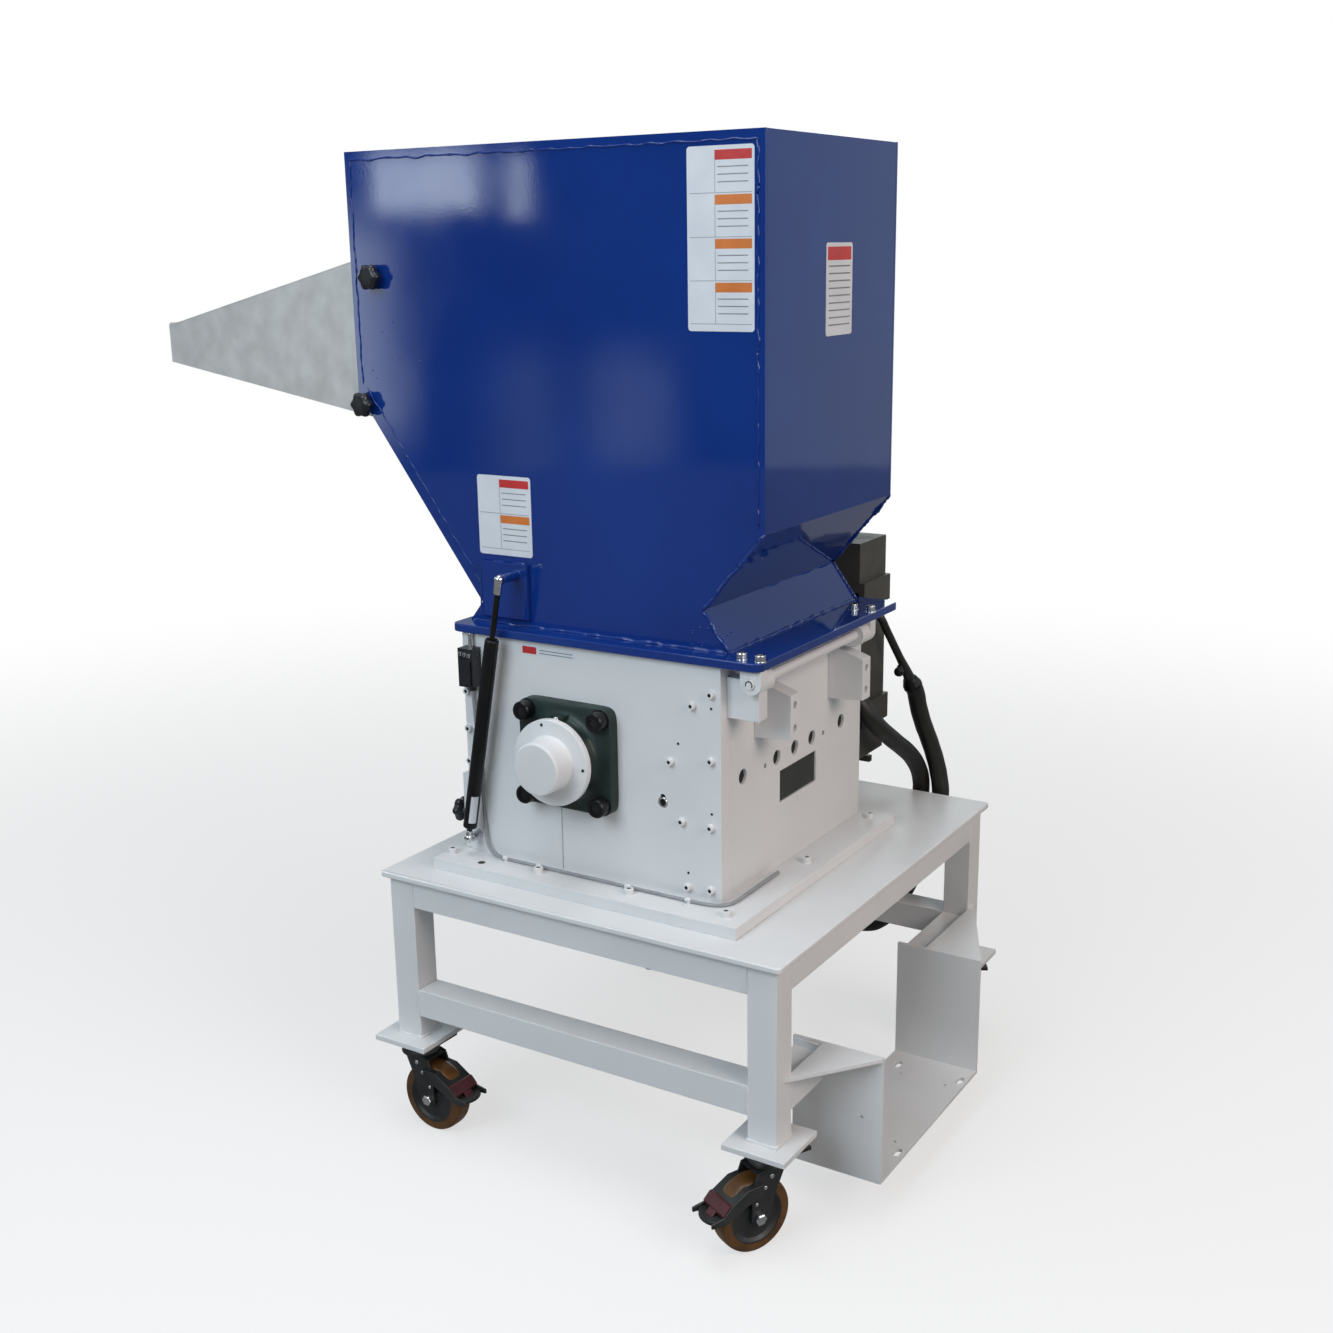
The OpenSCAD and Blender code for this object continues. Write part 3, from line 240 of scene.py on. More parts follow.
def make_floor():
    """Disc at height zero: pale diffuse, white for the lens, grey for mirrors, dim for bounces."""
    angle = np.linspace(0, 2 * math.pi, 96, endpoint=False)
    ring = np.stack([FLOOR_R * np.cos(angle), FLOOR_R * np.sin(angle), 0 * angle], 1)
    mesh = bpy.data.meshes.new("floor")
    mesh.from_pydata(ring.tolist(), [], [list(range(len(angle)))])
    floor = bpy.data.objects.new("floor", mesh)
    bpy.context.scene.collection.objects.link(floor)
    material = bpy.data.materials.new("floor")
    material.use_nodes = True
    tree = material.node_tree
    tree.nodes.clear()
    output = tree.nodes.new("ShaderNodeOutputMaterial")
    diffuse = tree.nodes.new("ShaderNodeBsdfDiffuse")
    white = tree.nodes.new("ShaderNodeEmission")
    grey = tree.nodes.new("ShaderNodeEmission")
    grey.inputs["Strength"].default_value = FLOOR_MIRRORED
    for_lens = tree.nodes.new("ShaderNodeMixShader")
    for_mirrors = tree.nodes.new("ShaderNodeMixShader")
    place = tree.nodes.new("ShaderNodeTexCoord")
    radius = tree.nodes.new("ShaderNodeVectorMath")
    radius.operation = "LENGTH"
    path = tree.nodes.new("ShaderNodeLightPath")
    lens = calc(tree, "MAXIMUM", path.outputs["Is Camera Ray"], path.outputs["Is Transmission Ray"])
    dimmed = calc(tree, "MULTIPLY", path.outputs["Is Diffuse Ray"], FLOOR_DIMMED)
    tree.links.new(calc(tree, "SUBTRACT", FLOOR_PALE, dimmed), diffuse.inputs["Color"])
    tree.links.new(place.outputs["Object"], radius.inputs[0])
    glow = step(tree, radius.outputs["Value"], 1.0, FLOOR_R * HALF, FLOOR_GLOW, 1.0)
    tree.links.new(calc(tree, "MULTIPLY", glow, lens), for_lens.inputs[0])
    tree.links.new(diffuse.outputs[0], for_lens.inputs[1])
    tree.links.new(white.outputs[0], for_lens.inputs[2])
    tree.links.new(path.outputs["Is Glossy Ray"], for_mirrors.inputs[0])
    tree.links.new(for_lens.outputs[0], for_mirrors.inputs[1])
    tree.links.new(grey.outputs[0], for_mirrors.inputs[2])
    tree.links.new(for_mirrors.outputs[0], output.inputs["Surface"])
    mesh.materials.append(material)


make_floor()

# %% [markdown]
# Three soft lamps give the forms their shading: a cool broad one on the bearing side, a warmer one
# behind and one overhead. The photograph's near side is cooler than its rear side, which tells
# where they stand. Lamps are hidden from the lens, because other views may look through them.

# %% Lamps
AIM = (0, 0, 900)


def soft_lamp(name, place, size, watts, colour, aim=AIM):
    """Area lamp of that size in metres at a drawing place, its -Z axis turned to the aim."""
    data = bpy.data.lights.new(name, "AREA")
    data.shape = "RECTANGLE"
    data.size, data.size_y = size
    data.energy = watts
    data.color = colour
    lamp = bpy.data.objects.new(name, data)
    bpy.context.scene.collection.objects.link(lamp)
    start, end = Vector(at(*place)), Vector(at(*aim))
    turn = (end - start).to_track_quat("-Z", "Y")
    lamp.matrix_world = Matrix.Translation(start) @ turn.to_matrix().to_4x4()
    lamp.visible_camera = False
    return lamp


soft_lamp("near_lamp", (3600, -600, 3000), (2.6, 2.0), 90, (0.79, 0.905, 1.0))
soft_lamp("rear_lamp", (900, 3600, 2700), (2.4, 1.8), 78, (1.0, 0.84, 0.77))
soft_lamp("top_lamp", (400, -300, 4200), (2.2, 2.2), 58, (0.93, 0.97, 1.0))

# %% [markdown]
# Paint is never one flat colour. Each finish starts from the same few nodes: a noise on Object
# coordinates shifts the colour a little, another moves the roughness, and a third drives a bump at
# the grain's real size. One helper builds that skeleton, and each finish adds what is its own.

# %% Finish helper


def noise(nodes, links, vector, scale, detail=3.0, stretch=(1, 1, 1)):
    """Noise of that many cells per metre on a vector, stretched along the axes."""
    mapping = nodes.new("ShaderNodeMapping")
    mapping.inputs["Scale"].default_value = stretch
    texture = nodes.new("ShaderNodeTexNoise")
    texture.inputs["Scale"].default_value = scale
    texture.inputs["Detail"].default_value = detail
    links.new(vector, mapping.inputs["Vector"])
    links.new(mapping.outputs["Vector"], texture.inputs["Vector"])
    return texture.outputs["Fac"]


def ramp(nodes, links, factor, stops):
    """Colour ramp: a list of (place, colour) stops over a factor."""
    node = nodes.new("ShaderNodeValToRGB")
    while len(node.color_ramp.elements) < len(stops):
        node.color_ramp.elements.new(HALF)
    for element, (place, colour) in zip(node.color_ramp.elements, stops):
        element.position = place
        element.color = (*colour, 1)
    links.new(factor, node.inputs["Fac"])
    return node.outputs["Color"]


def spread(nodes, links, factor, least, most):
    """A factor from 0.3 to 0.7, where noise mostly lies, moved to least and most."""
    node = nodes.new("ShaderNodeMapRange")
    node.inputs["From Min"].default_value = 0.3
    node.inputs["From Max"].default_value = 0.7
    node.inputs["To Min"].default_value = least
    node.inputs["To Max"].default_value = most
    links.new(factor, node.inputs["Value"])
    return node.outputs["Result"]


def bumps(nodes, links, height, strength, distance, after=None):
    """Bump node of that strength and distance in metres, after another bump if one is given."""
    node = nodes.new("ShaderNodeBump")
    node.inputs["Strength"].default_value = strength
    node.inputs["Distance"].default_value = distance
    links.new(height, node.inputs["Height"])
    if after is not None:
        links.new(after, node.inputs["Normal"])
    return node.outputs["Normal"]


def finish(name, dark, light, rough, grain, grain_depth, metallic=0.0, specular=0.5, tone=9.0,
           stretch=(1, 1, 1), wave=None, coat=0.0, coat_rough=0.05):
    """Painted or bare surface. Colour runs from dark to light over a slow noise of tone cells per
    metre, roughness runs over rough, and a fine noise of grain cells per metre makes a bump of
    grain_depth metres. wave = (cells per metre, depth) adds the slow waves of hand-worked plate."""
    material = bpy.data.materials.new(name)
    material.use_nodes = True
    nodes, links = material.node_tree.nodes, material.node_tree.links
    shader = nodes["Principled BSDF"]
    shader.inputs["Metallic"].default_value = metallic
    shader.inputs["Specular IOR Level"].default_value = specular
    shader.inputs["Coat Weight"].default_value = coat
    shader.inputs["Coat Roughness"].default_value = coat_rough
    vector = nodes.new("ShaderNodeTexCoord").outputs["Object"]
    slow = noise(nodes, links, vector, tone, 4.0, stretch)
    links.new(ramp(nodes, links, slow, [(0.32, dark), (0.68, light)]), shader.inputs["Base Color"])
    cloudy = noise(nodes, links, vector, 2.3 * tone, 5.0, stretch)
    links.new(spread(nodes, links, cloudy, *rough), shader.inputs["Roughness"])
    fine = noise(nodes, links, vector, grain, 2.0, stretch)
    normal = bumps(nodes, links, fine, 1.0, grain_depth)
    if wave:
        normal = bumps(nodes, links, noise(nodes, links, vector, wave[0], 1.5), 1.0, wave[1], normal)
    links.new(normal, shader.inputs["Normal"])
    return material


# %% [markdown]
# The finishes of this machine, each with the two ends of its colour. The blue is a gloss enamel
# over hand-filled plate, so its grain is a shallow orange peel and its wave bends the mirrored
# windows. The white is a satin powder coat. The tray is brushed stainless with handling marks.

# %% Finishes
BLUE = finish("blue_paint", (0.0045, 0.028, 0.185), (0.0065, 0.038, 0.230), (0.03, 0.08), 260, 0.000012,
              specular=0.5, tone=3.0, wave=(5.0, 0.0004))
WHITE = finish("white_paint", (0.70, 0.71, 0.72), (0.77, 0.78, 0.785), (0.34, 0.48), 420, 0.00004,
               specular=0.4, tone=4.0, wave=(11.0, 0.0003))
STEEL = finish("stainless", (0.64, 0.63, 0.62), (0.78, 0.77, 0.76), (0.32, 0.50), 900, 0.00001,
               metallic=0.6, tone=24.0, wave=(7.0, 0.0008))
TOOL = finish("tool_steel", (0.40, 0.41, 0.43), (0.56, 0.57, 0.59), (0.22, 0.38), 700, 0.00002,
              metallic=1.0, tone=16.0, stretch=(0.1, 1, 1))
DARK = finish("dark_steel", (0.010, 0.011, 0.011), (0.024, 0.026, 0.026), (0.35, 0.55), 300, 0.0001,
              specular=0.5, tone=20.0)
GREEN = finish("green_iron", (0.007, 0.018, 0.016), (0.014, 0.032, 0.028), (0.35, 0.55), 260, 0.0003,
               specular=0.4, tone=14.0)
GEAR = finish("gear_paint", (0.042, 0.043, 0.038), (0.066, 0.066, 0.058), (0.42, 0.60), 200, 0.0003,
              specular=0.35, tone=10.0)
CHROME = finish("bright_steel", (0.55, 0.56, 0.58), (0.74, 0.75, 0.77), (0.12, 0.28), 500, 0.00003,
                metallic=1.0, tone=40.0)
BLACK = finish("black_steel", (0.0035, 0.0035, 0.004), (0.008, 0.008, 0.009), (0.26, 0.40), 350, 0.00005,
               specular=0.25, tone=18.0)
PLASTIC = finish("black_plastic", (0.006, 0.006, 0.008), (0.013, 0.014, 0.018), (0.24, 0.40), 420, 0.0001,
                 specular=0.5, tone=30.0)
GREY = finish("grey_plastic", (0.20, 0.21, 0.22), (0.27, 0.28, 0.29), (0.40, 0.55), 400, 0.0001,
              specular=0.4, tone=14.0)
TREAD = finish("tread", (0.070, 0.030, 0.008), (0.15, 0.065, 0.016), (0.30, 0.50), 160, 0.0001,
               specular=0.45, tone=30.0)
MAROON = finish("pedal_red", (0.050, 0.012, 0.016), (0.085, 0.020, 0.026), (0.35, 0.55), 300, 0.0002,
                specular=0.4, tone=40.0)
HOSE = finish("hose", (0.005, 0.005, 0.005), (0.011, 0.011, 0.010), (0.38, 0.56), 300, 0.0002,
              specular=0.4, tone=16.0)
LEAD = finish("lead", (0.26, 0.27, 0.29), (0.34, 0.35, 0.37), (0.40, 0.55), 500, 0.00008,
              specular=0.4, tone=30.0)
GLASS = finish("dark_window", (0.010, 0.011, 0.010), (0.022, 0.024, 0.020), (0.06, 0.14), 60, 0.00004,
               specular=0.5, tone=10.0)
LABEL = finish("label_film", (0.66, 0.69, 0.74), (0.72, 0.75, 0.79), (0.30, 0.42), 500, 0.00003,
               specular=0.4, tone=20.0)
ORANGE = finish("label_orange", (0.60, 0.17, 0.035), (0.70, 0.21, 0.045), (0.30, 0.42), 500, 0.00003,
                specular=0.4, tone=20.0)
RED = finish("label_red", (0.50, 0.030, 0.030), (0.60, 0.040, 0.040), (0.30, 0.42), 500, 0.00003,
             specular=0.4, tone=20.0)
SHADOW = finish("socket_dark", (0.006, 0.006, 0.007), (0.014, 0.014, 0.015), (0.45, 0.60), 400, 0.0001,
                specular=0.3, tone=40.0)
print("finishes:", len(bpy.data.materials) - 1)

# %% [markdown]
# Most plates are right in the frame already, but their edges are knife sharp, and a real edge
# catches a thin line of light. A node's own mesh may not change, so a copy is merged and cleaned,
# gets a live Bevel modifier and stands for the node. Edges that the cut or weld leaves sharp stay
# so where a bevel's width is zero.

# %% Nodes with eased edges
FINISH_OF = {
    "white_paint": WHITE, "blue_paint": BLUE, "stainless": STEEL, "tool_steel": TOOL,
    "dark_steel": DARK, "green_iron": GREEN, "gear_paint": GEAR, "bright_steel": CHROME,
    "black_steel": BLACK, "black_plastic": PLASTIC, "grey_plastic": GREY, "tread": TREAD,
    "pedal_red": MAROON, "hose": HOSE, "lead": LEAD,
}
BODY_OF = {n: b for b, members in frame["record"]["behaviour"]["bodies"].items() for n in members}
SLOT_OF = {part["node"]: part["material_slot"] for part in frame["record"]["subparts"]}
SHARP = math.radians(28)


def shade(mesh, angle=SHARP):
    """Smooth shading, with edges over the angle left sharp."""
    mesh.shade_smooth()
    mesh.set_sharp_from_angle(angle=angle)


def add_bevel(piece, width, segments=2):
    """Live bevel of that width in millimetres on edges over 28 degrees."""
    modifier = piece.modifiers.new("eased", "BEVEL")
    modifier.width = width * MM
    modifier.segments = segments
    modifier.limit_method = "ANGLE"
    modifier.angle_limit = SHARP
    modifier.harden_normals = True
    modifier.use_clamp_overlap = True


def eased(node, width, segments=2, material=None):
    """Copy of a node's mesh with doubles merged and flat faces joined, with bevelled edges."""
    grid = bmesh.new()
    grid.from_mesh(frame["nodes"][node].data)
    bmesh.ops.remove_doubles(grid, verts=grid.verts, dist=1e-5)
    bmesh.ops.dissolve_limit(grid, angle_limit=0.01, verts=grid.verts, edges=grid.edges)
    mesh = bpy.data.meshes.new(node + "_eased")
    grid.to_mesh(mesh)
    grid.free()
    if "custom_normal" in mesh.attributes:
        mesh.attributes.remove(mesh.attributes["custom_normal"])
    mesh.materials.clear()
    mesh.materials.append(material or FINISH_OF[SLOT_OF[node]])
    shade(mesh)
    piece = bpy.data.objects.new(node + "_eased", mesh)
    bpy.context.scene.collection.objects.link(piece)
    if width:
        add_bevel(piece, width, segments)
    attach(piece, BODY_OF[node])
    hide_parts(node)
    return piece


EASED_MM = {
    "table_top": 2.5, "table_legs": 4.0, "upper_rails": 4.0, "lower_rails": 4.0, "blower_bracket": 1.2,
    "base_plate": 1.2, "near_wall": 1.0, "far_wall": 1.0, "rear_wall": 0.8, "front_wall": 1.0,
    "screen_door": 1.0, "door_pin": 0.8,
    "lifting_lugs": 1.2, "hinge_blocks": 1.2, "hinge_pin": 0.8, "hinge_knuckles": 1.0,
    "hopper_sides": 1.0, "hopper_sheet": 0.8, "hopper_flange": 2.0,
    "gas_bracket": 1.2, "caster_plates": 0.8, "gas_foot": 0.6,
    "junction_box": 3.0, "bed_knives": 0.6, "screen_cradle": 0.6,
    "rotor": 0.8, "rotor_knives": 0.5, "rotor_shaft": 1.0, "screen": 0.0, "switch_plunger": 0.8,
}
for node_name, bevel_mm in EASED_MM.items():
    eased(node_name, bevel_mm)
print("eased nodes:", len(EASED_MM))

# %% [markdown]
# Everything new is a surface on a grid. A profile turned about an axis makes knobs, caps and
# wheels; a section carried along a path makes weld beads, hoses and hems; an outline pushed along
# a direction makes plates. Three functions cover them, each worked out as whole arrays.

# %% Surface helpers


def grid_quads(rows, columns, wrap_rows=False, wrap_columns=False):
    """Quads of a grid of points numbered row by row: corner, next in row, the same two a row on."""
    r = np.arange(rows if wrap_rows else rows - 1)[:, None]
    c = np.arange(columns if wrap_columns else columns - 1)[None, :]
    r2, c2 = (r + 1) % rows, (c + 1) % columns
    quads = np.stack([r * columns + c, r * columns + c2, r2 * columns + c2, r2 * columns + c], -1)
    return quads.reshape(-1, 4)


def add_piece(name, verts, faces, material, body, slot, replaced=(), bevel=0.0, angle=SHARP):
    """Object at the origin from points in the frame, closed up and with faces turned outwards."""
    mesh = bpy.data.meshes.new(name)
    mesh.from_pydata(np.asarray(verts, float).tolist(), [], [list(map(int, f)) for f in faces])
    grid = bmesh.new()
    grid.from_mesh(mesh)
    bmesh.ops.remove_doubles(grid, verts=grid.verts, dist=1e-7)
    bmesh.ops.recalc_face_normals(grid, faces=grid.faces)
    grid.to_mesh(mesh)
    grid.free()
    mesh.materials.append(material)
    shade(mesh, angle)
    piece = bpy.data.objects.new(name, mesh)
    bpy.context.scene.collection.objects.link(piece)
    if bevel:
        add_bevel(piece, bevel)
    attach(piece, body)
    if replaced:
        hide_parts(*replaced)
    return piece


def axes_along(direction):
    """Two unit vectors square to a direction and to each other."""
    d = np.asarray(direction, float)
    d = d / np.linalg.norm(d)
    helper = np.array([0.0, 0.0, 1.0]) if abs(d[2]) < 0.9 else np.array([0.0, 1.0, 0.0])
    u = np.cross(helper, d)
    u /= np.linalg.norm(u)
    return d, u, np.cross(d, u)


def turned(profile, centre, direction, segments=48, lobes=None, first=0):
    """Profile of (radius, height) pairs in millimetres turned about an axis: point = centre +
    height * d + radius * (cos t * u + sin t * v). lobes(t) scales the radius round the turn, from
    the profile's point number first on."""
    d, u, v = axes_along(direction)
    line = np.asarray(profile, float) * MM
    t = np.linspace(0, 2 * math.pi, segments, endpoint=False)
    scale = np.ones((len(line), segments))
    if lobes is not None:
        scale[first:] = lobes(t)
    radius = line[:, :1] * scale
    round_part = radius[..., None] * (np.cos(t)[:, None] * u + np.sin(t)[:, None] * v)[None]
    verts = np.asarray(centre) + line[:, 1][:, None, None] * d + round_part
    return verts.reshape(-1, 3), grid_quads(len(line), segments, wrap_columns=True)


def joined(*parts):
    """Several (points, faces) pairs as one pair, each part's face numbers moved on."""
    verts, faces, start = [], [], 0
    for points, quads in parts:
        verts.append(np.asarray(points))
        faces.extend([[int(i) + start for i in f] for f in quads])
        start += len(points)
    return np.concatenate(verts), faces


def rounded(profile, radius, steps=4):
    """The profile with each inner corner cut back by up to radius millimetres and rounded by a
    quadratic curve: (1-s)^2 a + 2 s (1-s) corner + s^2 b for s from 0 to 1."""
    line = np.asarray(profile, float)
    out = [line[0]]
    for before, corner, after in zip(line[:-2], line[1:-1], line[2:]):
        back, on = before - corner, after - corner
        reach = min(radius, 0.45 * np.linalg.norm(back), 0.45 * np.linalg.norm(on))
        a = corner + back / max(np.linalg.norm(back), 1e-9) * reach
        b = corner + on / max(np.linalg.norm(on), 1e-9) * reach
        s = np.linspace(0, 1, steps + 1)[:, None]
        out.extend((1 - s) ** 2 * a + 2 * s * (1 - s) * corner + s ** 2 * b)
    out.append(line[-1])
    return np.array(out)


def smooth_path(points, per_span=8):
    """Catmull-Rom curve through points: each span mixes its four neighbours by cubic weights."""
    p = np.asarray(points, float)
    p = np.concatenate([[2 * p[0] - p[1]], p, [2 * p[-1] - p[-2]]])
    s = np.linspace(0, 1, per_span, endpoint=False)[None, :, None]
    a, b, c, d = p[:-3, None], p[1:-2, None], p[2:-1, None], p[3:, None]
    curve = HALF * (2 * b + (c - a) * s + (2 * a - 5 * b + 4 * c - d) * s ** 2
                    + (3 * b - a - 3 * c + d) * s ** 3)
    return np.concatenate([curve.reshape(-1, 3), p[-2:-1]])


def swept(path, radius, sides=16, squash=(1.0, 1.0), upward=(0, 0, 1)):
    """Round section along a path in metres: point = path + r (cos t * side * a + sin t * over * b),
    where side and over stand square to the path and radius may change along it. Ends are closed."""
    p = np.asarray(path, float)
    run = np.gradient(p, axis=0)
    run /= np.linalg.norm(run, axis=1)[:, None]
    side = np.cross(run, upward)
    weak = np.linalg.norm(side, axis=1) < 0.2
    side[weak] = np.cross(run[weak], (0, 1, 0.3))
    side /= np.linalg.norm(side, axis=1)[:, None]
    over = np.cross(side, run)
    r = np.broadcast_to(np.asarray(radius, float) * MM, len(p))[:, None, None]
    t = np.linspace(0, 2 * math.pi, sides, endpoint=False)[None, :, None]
    ring = r * (np.cos(t) * side[:, None] * squash[0] + np.sin(t) * over[:, None] * squash[1])
    verts = (p[:, None] + ring).reshape(-1, 3)
    faces = grid_quads(len(p), sides, wrap_columns=True).tolist()
    faces.append(list(range(sides))[::-1])
    faces.append(list(range((len(p) - 1) * sides, len(p) * sides)))
    return verts, faces


def slab(outline, start, push):
    """Flat outline of points in the frame pushed along a vector: two caps and a wall of quads."""
    base = np.asarray(outline, float) + np.asarray(start)
    n = len(base)
    verts = np.concatenate([base, base + np.asarray(push)])
    faces = grid_quads(2, n, wrap_columns=True).tolist()
    faces.append(list(range(n))[::-1])
    faces.append(list(range(n, 2 * n)))
    return verts, faces


def block(corner, opposite):
    """Box between two corners in the frame, as a slab of its lower rectangle."""
    a, b = np.minimum(corner, opposite), np.maximum(corner, opposite)
    flat = np.array([[a[0], a[1]], [b[0], a[1]], [b[0], b[1]], [a[0], b[1]]])
    return slab(np.column_stack([flat, np.full(4, a[2])]), (0, 0, 0), (0, 0, b[2] - a[2]))


# %% [markdown]
# Socket head screws hold the walls, the bearings and the hinges. A real one has a chamfered head
# and a hexagonal hole that always reads dark, because its inside lies in shade. The frame has each
# screw as a plain solid, so the solids are split into loose parts, and a shaped head and a dark
# hexagon of painted shade go where each part is. The hexagon's radius is cos(30) over the cosine
# of the angle from the middle of its side.

# %% Socket screws
MACHINE_MIDDLE = at(0, -30, 700)


def islands(node):
    """Boxes of a node's loose parts. Each point takes the least number among its neighbours until
    nothing changes, so that every part ends with one number of its own."""
    mesh = frame["nodes"][node].data
    points = np.empty(3 * len(mesh.vertices))
    mesh.vertices.foreach_get("co", points)
    edges = np.empty(2 * len(mesh.edges), int)
    mesh.edges.foreach_get("vertices", edges)
    unique, inverse = np.unique(points.reshape(-1, 3).round(5), axis=0, return_inverse=True)
    a, b = inverse.ravel()[edges.reshape(-1, 2)].T
    label = np.arange(len(unique))
    while True:
        least = np.minimum(label[a], label[b])
        new = label.copy()
        np.minimum.at(new, a, least)
        np.minimum.at(new, b, least)
        if (new == label).all():
            break
        label = new
    parts = [unique[label == n] for n in np.unique(label)]
    return [(part.min(0), part.max(0)) for part in parts]


def six_sided(t):
    """Radius of a hexagon of unit corner radius."""
    return math.cos(math.pi / 6) / np.cos((t + math.pi / 6) % (math.pi / 3) - math.pi / 6)


def socket_screw(seat, direction, r, height):
    """A head of radius r and height in millimetres with a hexagon hole, and a dark hexagon of painted shade
    inside the hole.
    """
    rim = [(0, 0), (r, 0), (r, 0.86 * height), (0.90 * r, height), (0.60 * r, height)]
    hole = [(0.54 * r, height), (0.54 * r, 0.50 * height), (0, 0.50 * height)]
    head = turned(rim + hole, seat, direction, 36, six_sided, len(rim))
    dark = turned([(0, 0.4 * height), (0.535 * r, 0.4 * height),
                   (0.535 * r, 0.9 * height), (0, 0.9 * height)],
                  seat, direction, 36, six_sided)
    return head, dark


def screw_group(name, seats, material, body, slot, replaced=()):
    """Screws given as (seat, direction, head radius, height, washer radius) as two pieces: heads with
    washers, and the painted shade inside their holes.
    """
    heads, darks = [], []
    for seat, direction, r, height, washer in seats:
        head, dark = socket_screw(seat, direction, r, height)
        heads.append(head)
        darks.append(dark)
        if washer:
            plate = rounded([(0, -2.2), (washer, -2.2), (washer, 0.4), (0, 0.4)], 0.4)
            heads.append(turned(plate, seat, direction, 36))
    add_piece(name, *joined(*heads), material, body, slot, replaced)
    # The second piece is painted shade: a dark hexagon standing for the shadow inside each socket.
    add_piece(name + "_socket_shade", *joined(*darks), SHADOW, body, slot)


def screws_of(node, washer=0.0):
    """Seat, direction and size of every screw of a node. A screw's box is square across its axis;
    its head is 1.6 shank radii wide and two shank radii high, at the end away from the machine."""
    seats = []
    for small, big in islands(node):
        size = big - small
        across = [abs(size[(k + 1) % 3] - size[(k + 2) % 3]) for k in range(3)]
        k = int(np.argmin(across))
        width = size[(k + 1) % 3]
        centre = (small + big) * HALF
        sign = 1.0 if k == 2 or centre[k] > MACHINE_MIDDLE[k] else -1.0
        direction = np.zeros(3)
        direction[k] = sign
        height = width / 1.6
        seat = centre.copy()
        seat[k] = (big[k] if sign > 0 else small[k]) - sign * height
        seats.append((seat, direction, HALF * width / MM, height / MM, washer * HALF * width / MM))
    return seats


screw_group("wall_screw_heads", screws_of("wall_screws"), WHITE, "root", "bright_steel", ["wall_screws"])
screw_group("bearing_screw_heads", screws_of("bearing_bolts", 1.12), BLACK, "root", "black_steel",
            ["bearing_bolts"])
screw_group("hinge_screw_heads", screws_of("hinge_bolts", 1.2), CHROME, "hopper", "bright_steel",
            ["hinge_bolts"])
print("wall screws:", len(screws_of("wall_screws")), "bearing screws:", len(screws_of("bearing_bolts")))

# %% [markdown]
# The star knobs that hold the tray are moulded in black with six lobes. The radius round the axis
# is a cosine of six times the angle, and the profile is domed with soft rims and a short collar.

# %% Star knobs
KNOB_PROFILE = [(0, 0), (10, 0), (10, 6), (15, 8), (21.6, 10.5), (21.8, 19), (17, 23.4), (7, 24), (0, 24)]


def star_knob(node, direction):
    """Knob with radius 1 + 0.09 cos 6t times its profile's, seated where its node is."""
    outer = high(node) if sum(direction) > 0 else low(node)
    centre = middle(node)
    axis = int(np.argmax(np.abs(direction)))
    centre[axis] = outer[axis] - 24 * MM * direction[axis]
    line = rounded(KNOB_PROFILE, 3.0)
    stud = turned([(0, -6), (5, -6), (5, 0.2), (0, 0.2)], centre, direction, 24)
    body = turned(line, centre, direction, 96, lambda t: 1 + 0.085 * np.cos(6 * t) - 0.07)
    return add_piece(node + "_moulded", *joined(body, stud), PLASTIC, BODY_OF[node], "black_plastic", [node])


for place in ("upper", "lower"):
    star_knob("knob_" + place + "_near", (1, 0, 0))
    star_knob("knob_" + place + "_far", (-1, 0, 0))
star_knob("door_knob", (0, -1, 0))

# %% [markdown]
# The bearing is a square cast flange with a round boss that flows into it, a grease nipple on top
# and a white end cap with a turned rim. The casting is a surface round the shaft's axis whose
# section runs from the square's outline to the boss's circle. The square has round corners: a
# superellipse, where |cos|^n + |sin|^n sets the radius.

# %% Bearing housings and cap
FLANGE_MM = 90.0
BOSS_MM = 66.0
BOSS_LEN_MM = 49.0
CORNER_POWER = 11.0


def super_radius(t, power):
    """Radius of a superellipse of half width 1: (|cos t|^p + |sin t|^p)^(-1/p)."""
    return (np.abs(np.cos(t)) ** power + np.abs(np.sin(t)) ** power) ** (-1 / power)


def bearing(side):
    """Housing on the near (1) or far (-1) wall: rings of points that go from square to round."""
    wall_x = NEAR_X if side > 0 else low("far_wall")[0]
    centre = np.array([wall_x, ROTOR[1], ROTOR[2]])
    d, u, v = np.array([side, 0, 0.0]), np.array([0, 1.0, 0]), np.array([0, 0, 1.0])
    t = np.linspace(0, 2 * math.pi, 144, endpoint=False)
    square = super_radius(t, CORNER_POWER)
    heights = np.array([0.0, 18.0, 21.0, 22.0, 22.3, 23.5, 27.0, 32.0, 45.0, 48.0, 49.0, 49.0])
    sizes = np.array([FLANGE_MM, FLANGE_MM, 88.8, 86.4, 82.0, 75.0, 69.0, BOSS_MM, BOSS_MM - 1.0,
                      64.0, 61.0, 34.0])
    rounds = np.array([0, 0, 0, 0.06, 0.45, 0.85, 1, 1, 1, 1, 1, 1.0])
    radius = sizes[:, None] * ((1 - rounds)[:, None] * square[None] + rounds[:, None])
    ring = np.cos(t)[:, None] * u + np.sin(t)[:, None] * v
    verts = centre + MM * (heights[:, None, None] * d + radius[..., None] * ring[None])
    casting = (verts.reshape(-1, 3), grid_quads(len(heights), len(t), wrap_columns=True))
    saddle = block(centre + MM * (22 * d - 13 * u + (BOSS_MM - 6) * v),
                   centre + MM * (38 * d + 13 * u + (BOSS_MM + 7) * v))
    nipple_at = centre + MM * (38 * d + (BOSS_MM + 1) * v)
    line = rounded([(0, 0), (6, 0), (6, 6), (3.6, 8), (3.6, 13), (2.6, 15), (0, 16)], 1)
    return [casting, saddle], turned(line, nipple_at, d, 20)


